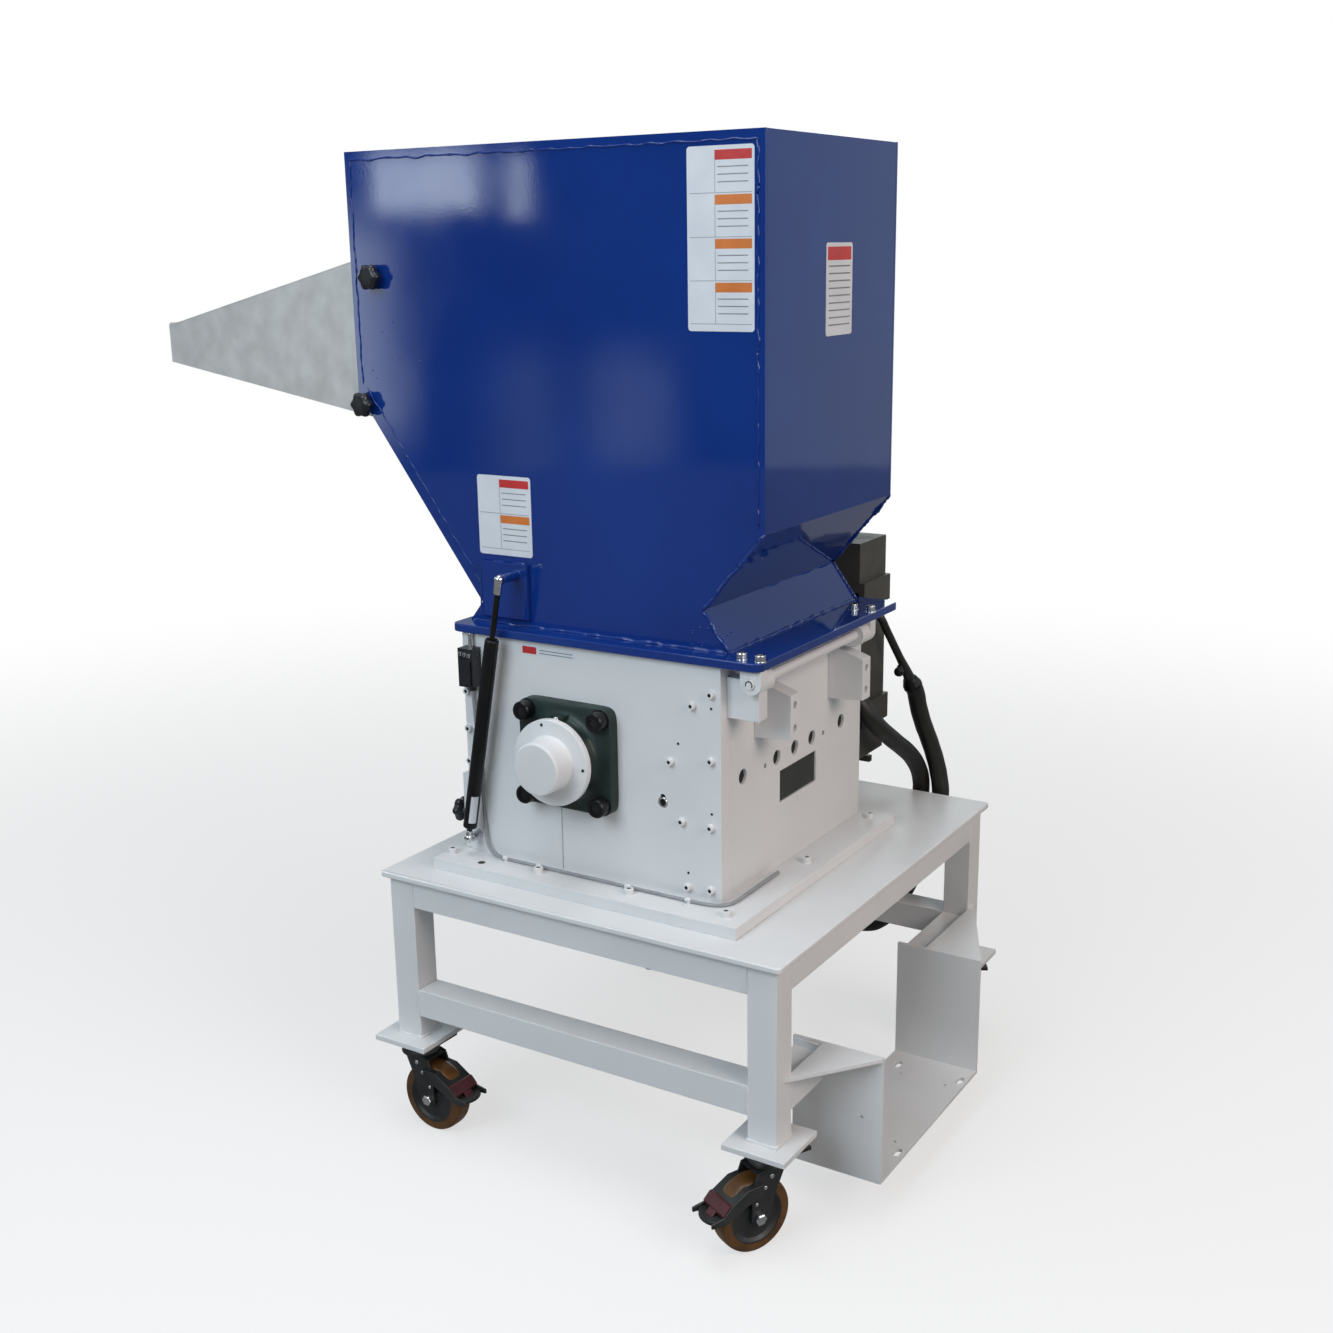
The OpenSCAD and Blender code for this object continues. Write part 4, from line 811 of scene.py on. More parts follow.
castings, nipples = [], []
for side in (1, -1):
    solids, nipple = bearing(side)
    castings.extend(solids)
    nipples.append(nipple)
add_piece("bearing_castings", *joined(*castings), GREEN, "root", "green_iron", ["bearing_housings"],
          angle=math.radians(40))
add_piece("grease_nipples", *joined(*nipples), CHROME, "root", "bright_steel")

CAP_AT = np.array([NEAR_X + BOSS_LEN_MM * MM, ROTOR[1], ROTOR[2]])
CAP_LINE = [(0, 0), (72, 0), (72, 12), (46.5, 12.4), (43.8, 14.5), (43.5, 50.5), (41, 53), (0, 53)]
cap = turned(rounded(CAP_LINE, 1.8), CAP_AT, (1, 0, 0), 128)
add_piece("end_cap", *cap, WHITE, "root", "white_paint", ["bearing_cap"])
cap_turns = np.radians([-2, 103, 215])
cap_seats = [CAP_AT + MM * np.array([12, 64 * math.cos(t), 64 * math.sin(t)]) for t in cap_turns]
screw_group("end_cap_screws", [(p, (1, 0, 0), 2.6, 1.0, 0) for p in cap_seats], DARK, "root", "black_steel")

# %% [markdown]
# The casters: an amber tread cast round a dark hub, a pressed fork that hugs it, a raceway with a
# king bolt, and a two-part brake pedal. Each is worked out about the caster's own swivel axis with
# the trail along x, then turned to its heading, which the frame gives: the wheel's middle less
# the top plate's middle.

# %% Casters
WHEEL_R = 62.5
TRAIL = 35.0
CORNERS = ("front_near", "rear_near", "front_far", "rear_far")


def caster_axes(corner):
    """Swivel point on the floor and the two level axes of a caster: trail and axle."""
    x_side, y_side = corner.split("_")[1], corner.split("_")[0]
    edge_x = high("table_legs")[0] if x_side == "near" else low("table_legs")[0]
    edge_y = low("table_legs")[1] if y_side == "front" else high("table_legs")[1]
    inset = 55 * MM
    pivot = np.array([edge_x - inset if x_side == "near" else edge_x + inset,
                      edge_y + inset if y_side == "front" else edge_y - inset, 0.0])
    hub = middle("wheel_" + corner)
    trail = hub - pivot
    trail[2] = 0
    trail /= np.linalg.norm(trail)
    return pivot, trail, np.array([-trail[1], trail[0], 0.0])


def in_caster(corner, points):
    """Points drawn with the trail along x, the axle along y and z up, in mm, to the frame."""
    pivot, trail, axle = caster_axes(corner)
    p = np.asarray(points, float) * MM
    return pivot + p[:, :1] * trail + p[:, 1:2] * axle + p[:, 2:] * np.array([0, 0, 1.0])


def turned_in(corner, profile, centre, direction, segments=32, lobes=None):
    """A turned profile placed in a caster's own drawing."""
    verts, faces = turned(profile, np.asarray(centre, float) * MM, direction, segments, lobes)
    return in_caster(corner, verts / MM), faces


def cheek(side):
    """Outline of a fork's cheek as two arcs and their tangents, pushed by its thickness."""
    t = np.radians(np.linspace(-150, 20, 16))
    foot = np.stack([TRAIL + 14 * np.cos(t), 0 * t, WHEEL_R + 14 * np.sin(t)], 1)
    top = np.array([[TRAIL + 13, 0, 110], [TRAIL + 2, 0, 138], [-13, 0, 149], [-14, 0, 139]])
    outline = np.concatenate([foot, top])
    outline[:, 1] = side * 21.2
    return slab(outline, (0, 0, 0), (0, side * 3.6, 0))


def make_caster(corner):
    """Wheel, fork and, where the frame has one, pedal of one caster."""
    tread = [(46, -17.8), (55, -18), (60.5, -16.5), (62.2, -11), (WHEEL_R, 0),
             (62.2, 11), (60.5, 16.5), (55, 18), (46, 17.8)]
    rubber = turned_in(corner, rounded(tread, 2.5), (TRAIL, 0, WHEEL_R), (0, 1, 0), 96)
    hub = [(7, -20), (13, -20), (14, -15), (20, -13), (38, -13), (44, -17.5), (46.4, -17.8),
           (46.4, 17.8), (44, 17.5), (38, 13), (20, 13), (14, 15), (13, 20), (7, 20)]
    core = turned_in(corner, rounded(hub, 1.2), (TRAIL, 0, WHEEL_R), (0, 1, 0), 72)
    body = "wheel_" + corner
    add_piece("tread_" + corner, *rubber, TREAD, body, "tread", [body])
    add_piece("hub_" + corner, *core, DARK, body, "dark_steel")
    sides = [(in_caster(corner, v), f) for v, f in (cheek(1), cheek(-1))]
    dome = rounded([(0, 139.8), (33, 139.8), (33.5, 143), (31, 149.4), (0, 149.4)], 2)
    crown = turned_in(corner, dome, (0, 0, 0), (0, 0, 1), 48)
    bridge = slab([(TRAIL + 2, -24.8, 136), (-13, -24.8, 149), (-13, -24.8, 146), (TRAIL, -24.8, 133)],
                  (0, 0, 0), (0, 49.6, 0))
    bridge = (in_caster(corner, bridge[0]), bridge[1])
    fork = "fork_" + corner
    add_piece("pressed_" + fork, *joined(*sides, crown, bridge), DARK, fork, "dark_steel", [fork], bevel=0.8)
    nut = rounded([(0, 24.8), (10, 24.8), (10, 31), (7, 33), (0, 33)], 1)
    bolts = []
    for way in (1, -1):
        bolts.append(turned_in(corner, nut, (TRAIL, 0, WHEEL_R), (0, way, 0), 24,
                               lambda t: 0.93 + 0.07 * np.cos(6 * t)))
        for x, z, r in ((12, 128, 4.2), (24, 112, 3.6), (40, 88, 3.2)):
            rivet = rounded([(0, 24.6), (r, 24.8), (0.9 * r, 26.2), (0, 26.8)], 1)
            bolts.append(turned_in(corner, rivet, (x, 0, z), (0, way, 0), 16))
    bolts.append(turned_in(corner, [(8, 100), (7, 28), (0, 24)], (0, 0, 35), (0, 0, 1), 16))
    add_piece("rivets_" + corner, *joined(*bolts), CHROME, fork, "bright_steel")


for corner in CORNERS:
    make_caster(corner)


def make_pedal(corner):
    """Brake pedal: a black hood over the wheel, a maroon bar with a tongue, and a black toe plate."""
    body = "pedal_" + corner
    hood = [(30, 0, 121), (58, 0, 119), (88, 0, 101), (101, 0, 88),
            (101, 0, 82), (86, 0, 94), (57, 0, 113), (30, 0, 115)]
    shell = slab([(x, -29.4, z) for x, y, z in hood], (0, 0, 0), (0, 58.8, 0))
    arms = []
    for way in (1, -1):
        outline = [(28, way * 25.4, 120), (58, way * 25.4, 118), (100, way * 25.4, 88), (124, way * 25.4, 84),
                   (124, way * 25.4, 76), (98, way * 25.4, 74), (60, way * 25.4, 92), (30, way * 25.4, 104)]
        arms.append(slab(outline, (0, 0, 0), (0, way * 3.8, 0)))
    t = np.radians(np.linspace(-90, 90, 13))
    toe = np.stack([101 + 23 * np.cos(t), 29.5 * np.sin(t), 0 * t + 75], 1)
    toe = np.concatenate([toe, [[90, 29.5, 75], [90, -29.5, 75]]])
    plate = slab(toe, (0, 0, 0), (0, 0, 7))
    parts = [(in_caster(corner, v), f) for v, f in (shell, *arms, plate)]
    add_piece("hooded_" + body, *joined(*parts), DARK, body, "dark_steel", [body], bevel=1.2)
    bar = slab([(86, -28, 103), (92, -28, 103.5), (104, -28, 91), (103, -28, 85.5), (98, -28, 88)],
               (0, 0, 0), (0, 56, 0))
    tongue = slab([(100, -9, 90), (104, -9, 90), (113, -9, 82), (111, -9, 80)], (0, 0, 0), (0, 18, 0))
    parts = [(in_caster(corner, v), f) for v, f in (bar, tongue)]
    add_piece("bar_" + body, *joined(*parts), MAROON, body, "pedal_red", bevel=1.2)


for corner in ("front_near", "rear_near"):
    make_pedal(corner)

# %% [markdown]
# The gas spring: a long black tube with rolled ends over a black lower rod, bright ball sockets
# and studs. Cylinder and rod ride on their own bodies and slide past each other, so each gets its
# own turned profile along the line between its two eyes.

# %% Gas spring
SPRING_X = middle("gas_rod")[0]


def spring_ends():
    """Centres of the two eyes, from the boxes of the cylinder's foot and the rod's top."""
    r = 8 * MM
    bottom = np.array([SPRING_X, 0, low("gas_cylinder")[2] + r])
    bottom[1] = low("gas_cylinder")[1] + r
    top = np.array([SPRING_X, high("gas_rod")[1] - r, high("gas_rod")[2] - r])
    return bottom, top


def make_gas_spring():
    """Turned tube, turned rod and two ball sockets on the spring's line."""
    bottom, top = spring_ends()
    line = top - bottom
    length = np.linalg.norm(line) / MM
    tube = [(0, 9), (4.6, 9), (4.6, 22), (11, 22), (12, 24),
            (12, 362), (10.6, 365), (6, 365), (5.2, 363), (5.2, 330)]
    add_piece("spring_tube", *turned(rounded(tube, 1.4), bottom, line, 48), BLACK, "gas_cylinder",
              "black_steel", ["gas_cylinder"])
    foot = [(0, -7.5), (3.5, -7), (7, -4), (7.8, 0), (7, 4), (5.2, 7), (5.2, 14), (4.2, 15), (0, 15)]
    add_piece("lower_socket", *turned(rounded(foot, 1.5), bottom, line, 32), CHROME, "gas_cylinder",
              "bright_steel")
    rod = [(0, length - 90), (4.9, length - 90), (4.9, length - 24), (6.5, length - 23), (6.5, length - 10)]
    head = [(7.6, length - 5), (8, length), (7, length + 4), (3.6, length + 7.6), (0, length + 8)]
    slim = [(0, 45), (4.4, 45), (4.4, length - 88), (0, length - 88)]
    parts = joined(turned(rod, bottom, line, 32), turned(slim, bottom, line, 24))
    add_piece("spring_rod", *parts, BLACK, "gas_rod", "black_steel", ["gas_rod"])
    grip = [(6.4, length - 24), (6.9, length - 22), (6.9, length - 10)]
    add_piece("upper_socket", *turned(rounded(grip + head, 1.5), bottom, line, 32), CHROME, "gas_rod",
              "bright_steel")


make_gas_spring()

# %% [markdown]
# The drive stands at the far side: a cast gear unit with ribs, round edges and two eye lugs, and a
# finned motor with a terminal box. Only its rear edge shows past the machine in the photograph,
# so the fins and covers follow what such a drive has.

# %% Gear unit and motor
GEAR_LOW, GEAR_HIGH = low("gear_unit"), high("gear_unit")
MOTOR_AT = middle("motor")


def make_gear_unit():
    """Eased copy of the case, with ribs and a round bearing cover on its far side."""
    eased("gear_unit", 6.0, 3)
    gear_x = GEAR_LOW[0]
    axis = np.array([gear_x, ROTOR[1], ROTOR[2]])
    rim = rounded([(0, -6), (70, -6), (70, 8), (62, 12), (36, 12), (36, 6), (0, 6)], 2)
    cover = turned(rim, axis, (-1, 0, 0), 72)
    input_axis = np.array([gear_x, MOTOR_AT[1] + 250 * MM, MOTOR_AT[2]])
    plug = turned(rounded([(0, -4), (34, -4), (34, 6), (28, 9), (0, 9)], 2), input_axis, (-1, 0, 0), 48)
    ribs = []
    for share in (0.18, 0.82):
        z = GEAR_LOW[2] + share * (ROTOR[2] + 110 * MM - GEAR_LOW[2])
        ribs.append(block((gear_x - 8 * MM, GEAR_LOW[1] + 12 * MM, z),
                          (gear_x + 4 * MM, GEAR_HIGH[1] - 34 * MM, z + 12 * MM)))
    add_piece("gear_covers", *joined(cover, plug, *ribs), GEAR, "root", "gear_paint", bevel=1.5)
    bolts = [axis + MM * np.array([-8, 54 * math.cos(t), 54 * math.sin(t)])
             for t in np.radians(np.arange(30, 390, 60))]
    seats = [(p, (-1, 0, 0), 6.5, 8, 0) for p in bolts]
    screw_group("gear_cover_screws", seats, BLACK, "root", "black_steel")


def make_motor():
    """Finned barrel along Y: radius is the barrel's plus fins where a cosine of the angle peaks."""
    back, front = low("motor")[1], high("motor")[1]
    centre = np.array([MOTOR_AT[0], back, MOTOR_AT[2]])
    length = (front - back) / MM
    t = np.linspace(0, 2 * math.pi, 288, endpoint=False)
    fins = np.clip(np.cos(36 * t) * 3.0, -1, 1)
    stations = np.array([0, 2, 8, 58, 60, 62, 246, 248, 250, 286])
    radii = np.array([40, 70, 84, 86, 86, 80, 80, 86, 88, 88.0])
    finned = np.array([0, 0, 0, 0, 0, 1, 1, 0, 0, 0.0])
    radius = radii[:, None] + finned[:, None] * (3.5 + 3.5 * fins)[None]
    d, u, v = axes_along((0, 1, 0))
    ring = np.cos(t)[:, None] * u + np.sin(t)[:, None] * v
    verts = centre + MM * (stations[:, None, None] * d + radius[..., None] * ring[None])
    barrel = (verts.reshape(-1, 3), grid_quads(len(stations), len(t), wrap_columns=True))
    back_disc = turned([(0, 3), (34, 3), (40, 0)], centre, (0, 1, 0), 48)
    disc = rounded([(60, length - 14), (96, length - 14), (96, length), (0, length)], 2)
    flange = turned(disc, centre, (0, 1, 0), 72)
    add_piece("motor_barrel", *joined(barrel, back_disc, flange), GEAR, "root", "gear_paint", ["motor"],
              angle=math.radians(35))


make_gear_unit()
make_motor()

# %% [markdown]
# The terminal box is a cast box saddled on the motor, with a lid, a seal line and four screws.

# %% Terminal box
BOX_LOW, BOX_HIGH = low("terminal_box"), high("terminal_box")


def make_terminal_box():
    """Eased copy of the box with a separate lid plate and four screws under it."""
    eased("terminal_box", 4.0, 3, GEAR)
    z = BOX_LOW[2]
    inset = 3 * MM
    lid = block((BOX_LOW[0] + inset, BOX_LOW[1] + inset, z - inset),
                (BOX_HIGH[0] - inset, BOX_HIGH[1] - inset, z + inset))
    add_piece("terminal_lid", *lid, GEAR, "root", "grey_plastic", bevel=1.5)
    inset = 11 * MM
    places = [np.array([x, y, z - 3 * MM]) for x in (BOX_LOW[0] + inset, BOX_HIGH[0] - inset)
              for y in (BOX_LOW[1] + inset, BOX_HIGH[1] - inset)]
    screw_group("terminal_screws", [(p, (0, 0, -1), 4, 3, 0) for p in places], CHROME, "root", "bright_steel")


make_terminal_box()

# %% [markdown]
# The hoses are held at both ends, from the terminal box and the sensor's cable down past the table's
# edge and up into the junction box, so they are no free cords. Their route is the same list of
# points as the solids have. A smooth curve runs through them, and the sleeves swell and narrow a
# little in even waves along their length.

# %% Hoses and cables
POWER_ROUTE = [
    (-315, -220, 820), (-303, -220, 820), (-289, -212, 821), (-281, -196, 823), (-278, -172, 828),
    (-278, -120, 838), (-278, -60, 843), (-278, 0, 840), (-278, 50, 826), (-278, 95, 798),
    (-278, 135, 764), (-277, 170, 732), (-276, 200, 706), (-284, 219, 678), (-305, 229, 652),
    (-335, 234, 629), (-367, 237, 607), (-402, 240, 584), (-434, 241, 561), (-462, 241, 535),
    (-483, 240, 507), (-495, 237, 475), (-499, 230, 430), (-499, 217, 385), (-499, 200, 340),
    (-499, 180, 295), (-499, 160, 257), (-499, 140, 229), (-499, 120, 212), (-499, 101, 209),
    (-499, 83, 218), (-499, 69, 236), (-499, 61, 261), (-499, 60, 292), (-499, 60, 330),
]
SLEEVE_ROUTE = [
    (-440, 236, 702), (-450, 239.8, 683.5), (-458, 243, 652), (-468, 249, 618), (-481, 256, 585),
    (-491, 264, 550), (-497, 271, 515), (-499, 276, 475), (-499, 272, 430), (-499, 258, 380),
    (-499, 240, 330), (-499, 218, 280), (-499, 196, 236), (-499, 172, 199), (-499, 144, 174),
    (-499, 112, 165), (-499, 80, 170), (-499, 51, 188), (-499, 30, 215), (-499, 19, 250),
    (-499, 18, 290), (-499, 18, 330),
]
SENSOR_ROUTE = [
    (-352, 188, 852), (-352, 196, 852), (-353, 203, 849), (-356, 208, 842), (-361, 211, 832),
    (-368, 213, 820), (-383, 217, 797), (-403, 223, 765), (-424, 230, 731), (-440, 236, 702),
]
LEAD_ROUTE = [
    (256, -259, 801), (256, -259, 780), (255, -256, 720), (254, -252, 660), (254, -249, 600),
    (255, -246, 550), (258, -240, 522), (262, -228, 510), (265, -210, 506), (266, -180, 505.3),
    (266, -120, 505.3), (266, -60, 505.3), (266, 0, 505.3), (266, 60, 505.3), (266, 120, 505.3),
    (266, 170, 505.3), (264, 200, 505.3), (258, 218, 505.3), (246, 229, 505.3), (225, 233, 505.3),
    (160, 233, 505.3), (90, 233, 505.3),
]
HOSE_R = 16.8


def route(points):
    """Listed points of the drawing as a smooth path in the frame."""
    return smooth_path(np.array([at(*p) for p in points]))


def make_hoses():
    """Three swept tubes: two sleeves with slow swells along their length, and the thin cable."""
    sleeves = []
    for points in (POWER_ROUTE, SLEEVE_ROUTE):
        path = route(points)
        along = np.linspace(0, 1, len(path))
        swell = HOSE_R * (1 - 0.018 * (1 + np.cos(along * 2 * math.pi * 23)) * HALF)
        sleeves.append(swept(path, swell, 28, upward=(1, 0, 0)))
    add_piece("sleeves", *joined(*sleeves), HOSE, "root", "hose", ["conduits"])
    cable = route(SENSOR_ROUTE)
    thick = 7.4 + 4.2 * np.clip((np.linspace(0, 1, len(cable)) - 0.8) / 0.2, 0, 1)
    add_piece("sensor_lead", *swept(cable, thick, 20, upward=(1, 0, 0)), HOSE, "root", "hose",
              ["sensor_cable"])
    mouth = at(*SLEEVE_ROUTE[0])
    run = at(*SLEEVE_ROUTE[1]) - mouth
    cone = rounded([(8, -16), (13, -14), (16.4, -4), (18.2, 0), (18.2, 7), (17, 8)], 2)
    collar = turned(cone, mouth, run, 36)
    tie = at(-404, 226, 742)
    end = at(-391, 230, 736)
    nub = swept(np.array([tie, (tie + end) * HALF, end]), 5.5, 14)
    tip = turned(rounded([(0, -7), (8, -5), (9.5, 0), (8, 6), (0, 8)], 3), end, end - tie, 20)
    add_piece("sleeve_collar", *joined(collar, nub, tip), BLACK, "root", "black_steel")


make_hoses()
lead = swept(route(LEAD_ROUTE), 2.9, 14)
add_piece("switch_lead", *lead, LEAD, "root", "lead", ["signal_lead"])

# %% [markdown]
# The feed tray is folded from thin stainless sheet. Its tip lip is rolled outwards into a hem, its
# sides rise to the hopper's mouth, and it is open on top. A Solidify modifier could give the sheet
# its wall, but the wall here is the frame's own solid, because its thickness must meet the knobs'
# studs.

# %% Feed tray
TRAY_LOW, TRAY_HIGH = low("feed_tray"), high("feed_tray")


def make_tray():
    """Eased copy of the folded tray plus hemmed rims: thin rolls along its two upper edges."""
    eased("feed_tray", 0.5)
    tip = at(0, -965 + 6, 1381.3)
    rims = []
    for x in (TRAY_LOW[0] + 1.2 * MM, TRAY_HIGH[0] - 1.2 * MM):
        start = np.array([x, tip[1], tip[2] + 1 * MM])
        end = np.array([x, at(0, -506, 0)[1], at(0, 0, 1491)[2]])
        rims.append(swept(start + (end - start) * np.linspace(0, 1, 12)[:, None], 1.6, 12))
    add_piece("tray_rims", *joined(*rims), STEEL, "hopper", "stainless")


make_tray()

# %% [markdown]
# The limit switch hangs on the near wall under the flange: a black moulded body with a rounded
# front, a seam, a lower gland and three bright screws.

# %% Limit switch
SWITCH_LOW, SWITCH_HIGH = low("limit_switch"), high("limit_switch")


def make_switch():
    """Eased copy of the body with a raised cover, a gland and screws on its outer face."""
    eased("limit_switch", 3.0, 3)
    x = SWITCH_HIGH[0]
    cover = block((x - 2 * MM, SWITCH_LOW[1] + 3 * MM, SWITCH_LOW[2] + 4 * MM),
                  (x + 2.5 * MM, SWITCH_HIGH[1] - 3 * MM, SWITCH_HIGH[2] - 19 * MM))
    gland = turned(rounded([(0, -4), (8, -4), (8, 1), (6.5, 3), (6.5, 9), (0, 9)], 1),
                   np.array([at(256, 0, 0)[0], at(0, -259, 0)[1], SWITCH_LOW[2]]), (0, 0, -1), 24)
    add_piece("switch_cover", *joined(cover, gland), PLASTIC, "root", "black_plastic", bevel=1.0)
    rows = [(SWITCH_LOW[1] + 6 * MM, SWITCH_HIGH[2] - 9 * MM),
            (SWITCH_HIGH[1] - 6 * MM, SWITCH_HIGH[2] - 11 * MM),
            (SWITCH_LOW[1] + 15 * MM, SWITCH_HIGH[2] - 10 * MM)]
    seats = [(np.array([x, y, z]), (1, 0, 0), 3.4, 2.4, 0) for y, z in rows]
    screw_group("switch_screws", seats, CHROME, "root", "bright_steel")


make_switch()

# %% [markdown]
# The hopper is welded by hand from plate, and the enamel runs over every bead. A bead is a swept
# round section, half sunk in the plate. Its radius ripples and its path wanders a little, both by
# sums of sines with random phases, and the same seed gives the same bead again.

# %% Weld beads


def wander(length, seed, amount, waves):
    """Sum of sines of random phase over a length in metres, with mean square amount squared."""
    rng = np.random.default_rng(seed)
    s = np.asarray(length)[:, None]
    freq = rng.uniform(0.3, 1.0, (1, 7)) * waves
    phase = rng.uniform(0, 2 * math.pi, (1, 7))
    return amount * np.sin(2 * math.pi * freq * s + phase).sum(1) / math.sqrt(7 / 2)


def bead(points, r, seed, aside=(0, 0, 1), drift=1.0, pace=4.0, flat=1.0):
    """Weld bead through points of the drawing: r in millimetres times 1 + 0.25 sine ripple, moved
    aside by drift millimetres, with a ring every pace millimetres."""
    corners = np.array([at(*p) for p in points])
    parts = []
    for a, b in zip(corners[:-1], corners[1:]):
        n = max(int(np.linalg.norm(b - a) / (pace * MM)), 3)
        parts.append(a + (b - a) * np.linspace(0, 1, n, endpoint=False)[:, None])
    path = np.concatenate(parts + [corners[-1:]])
    along = np.concatenate([[0], np.cumsum(np.linalg.norm(np.diff(path, axis=0), axis=1))])
    path = path + np.asarray(aside, float) * wander(along, seed, drift * MM, 30)[:, None]
    width = r * (1 + 0.22 * np.sin(2 * math.pi * along / (7 * MM)) + wander(along, seed + 1, 0.14, 60))
    width = np.clip(width, 0.35 * r, None)
    width[[0, -1]] *= 0.4
    return swept(path, width, 8, (1.0, flat))


NECK_NEAR = [(224, 280, 1093), (224, 172, 968), (224, 218, 906)]
TOP_SEAM_Z, EDGE_IN = 1652, 11
hopper_beads = [
    bead([(224.3, -494, TOP_SEAM_Z), (224.3, 270, TOP_SEAM_Z)], 1.5, 11, (0, 0, 1), 0.9, 5),
    bead([(224.3, -493, TOP_SEAM_Z), (224.3, -493, 1290)], 1.2, 12, (0, 1, 0), 0.8, 5),
    bead([(224.3, -484, 1284), (224.3, -241, 950)], 1.2, 13, (0, 0.8, 0.6), 0.8, 5),
    bead([(224.3, 280 - EDGE_IN, TOP_SEAM_Z), (224.3, 280 - EDGE_IN, 1100)], 1.6, 14, (0, 1, 0), 1.0, 5),
    bead(NECK_NEAR[:2], 3.0, 15, (0, 0.7, -0.7), 0.8),
    bead(NECK_NEAR[1:], 2.8, 16, (0, 0.8, 0.6), 0.8),
    bead([(224.6, -276, 906), (224.6, 214, 906)], 3.2, 17, (0, 0, 1), 0.4, 6),
    bead([(-218, 218.5, 906), (218, 218.5, 906)], 3.2, 18, (0, 0, 1), 0.4, 6),
    bead([(-224, 280, 1093), (-224, 172, 968), (-224, 218, 906)], 3.0, 19, (0, 0.7, -0.7), 0.8),
    bead([(-224.3, -494, TOP_SEAM_Z), (-224.3, 270, TOP_SEAM_Z)], 1.5, 20, (0, 0, 1), 0.9, 8),
    bead([(-224.6, -276, 906), (-224.6, 214, 906)], 3.2, 21, (0, 0, 1), 0.4, 8),
    bead([(224.4, -246, 1009), (224.4, -163, 1009)], 2.0, 22, (0, 0, 1), 0.8, 5),
    bead([(232, -251, 918), (232, -251, 1004)], 1.6, 23, (0, 1, 0), 0.5, 5),
]
add_piece("hopper_beads", *joined(*hopper_beads), BLUE, "hopper", "blue_paint", angle=math.radians(80))

spatter_rng = np.random.default_rng(5)
spots = []
for y, z in zip(spatter_rng.uniform(150, 222, 16), spatter_rng.uniform(910, 945, 16)):
    dot = [(0, -0.4), (spatter_rng.uniform(1.0, 2.4), 0), (0.7, 1.1), (0, 1.4)]
    spots.append(turned(dot, at(224, y, z), (1, 0, 0), 10))
for y, z in zip(spatter_rng.uniform(-470, -360, 14), spatter_rng.uniform(1290, 1400, 14)):
    dot = [(0, -0.4), (spatter_rng.uniform(0.8, 1.8), 0), (0.6, 0.7), (0, 0.9)]
    spots.append(turned(dot, at(224, y, z), (1, 0, 0), 10))
add_piece("weld_spatter", *joined(*spots), BLUE, "hopper", "blue_paint")

# %% [markdown]
# The stand is welded from square tube in the same way. Its beads are small and painted white:
# round the foot plates, along the joints of the rails and up the bracket's corners.

# %% Beads on the stand
LEG_X = [(311, 361), (-458, -408)]
LEG_Y = [(-375, -325), (325, 375)]
stand_beads = []
seed = 40
for x0, x1 in LEG_X:
    for y0, y1 in LEG_Y:
        loop = [(x0, y0, 179), (x1, y0, 179), (x1, y1, 179), (x0, y1, 179), (x0, y0, 179)]
        stand_beads.append(bead(loop, 3.0, seed, (0, 0, 1), 0.3, 6))
        cap_loop = [(x0, y0, 471), (x1, y0, 471), (x1, y1, 471), (x0, y1, 471), (x0, y0, 471)]
        stand_beads.append(bead(cap_loop, 2.0, seed + 1, (0, 0, 1), 0.3, 8))
        seed += 2
for x in (361, -458):
    for y in (-325, 325):
        for z0, z1 in ((221, 269), (423, 471)):
            stand_beads.append(bead([(x, y, z0), (x, y, z1)], 1.6, seed, (0, 1, 0), 0.5, 5))
            seed += 1
for x0, y, z in ((-209, 325, 280), (205, 325, 280)):
    stand_beads.append(bead([(x0, y, z), (x0, y + 44, z)], 1.8, seed, (1, 0, 0), 0.4, 6))
    seed += 1
add_piece("stand_beads", *joined(*stand_beads), WHITE, "root", "white_paint", angle=math.radians(80))

# %% [markdown]
# Printed film labels sit on the paint. Here they are blank: a pale film with round corners, plain
# colour bars where a heading would be and hairlines between fields. They hold no words and signs.

# %% Blank labels


def film(plane, place, u0, u1, v0, v1, lift, thick, radius=3.0):
    """Rounded rectangle in a plane of the drawing ("x" or "y") at a place, pushed outwards."""
    k = np.radians(np.linspace(0, 90, 5))
    corners = []
    for cu, cv, turn in ((u1, v1, 0), (u0, v1, 90), (u0, v0, 180), (u1, v0, 270)):
        mu = cu - math.copysign(radius, cu - (u0 + u1) / 2)
        mv = cv - math.copysign(radius, cv - (v0 + v1) / 2)
        corners.extend([(mu + radius * math.cos(a + math.radians(turn)),
                         mv + radius * math.sin(a + math.radians(turn)))
                        for a in k])
    flat = np.array(corners)
    if plane == "x":
        points = np.column_stack([np.full(len(flat), place + lift), flat[:, 0], flat[:, 1]])
        push = (thick, 0, 0)
    else:
        points = np.column_stack([flat[:, 0], np.full(len(flat), place + lift), flat[:, 1]])
        push = (0, thick, 0)
    return slab(DATUM + points * MM, (0, 0, 0), np.array(push) * MM)


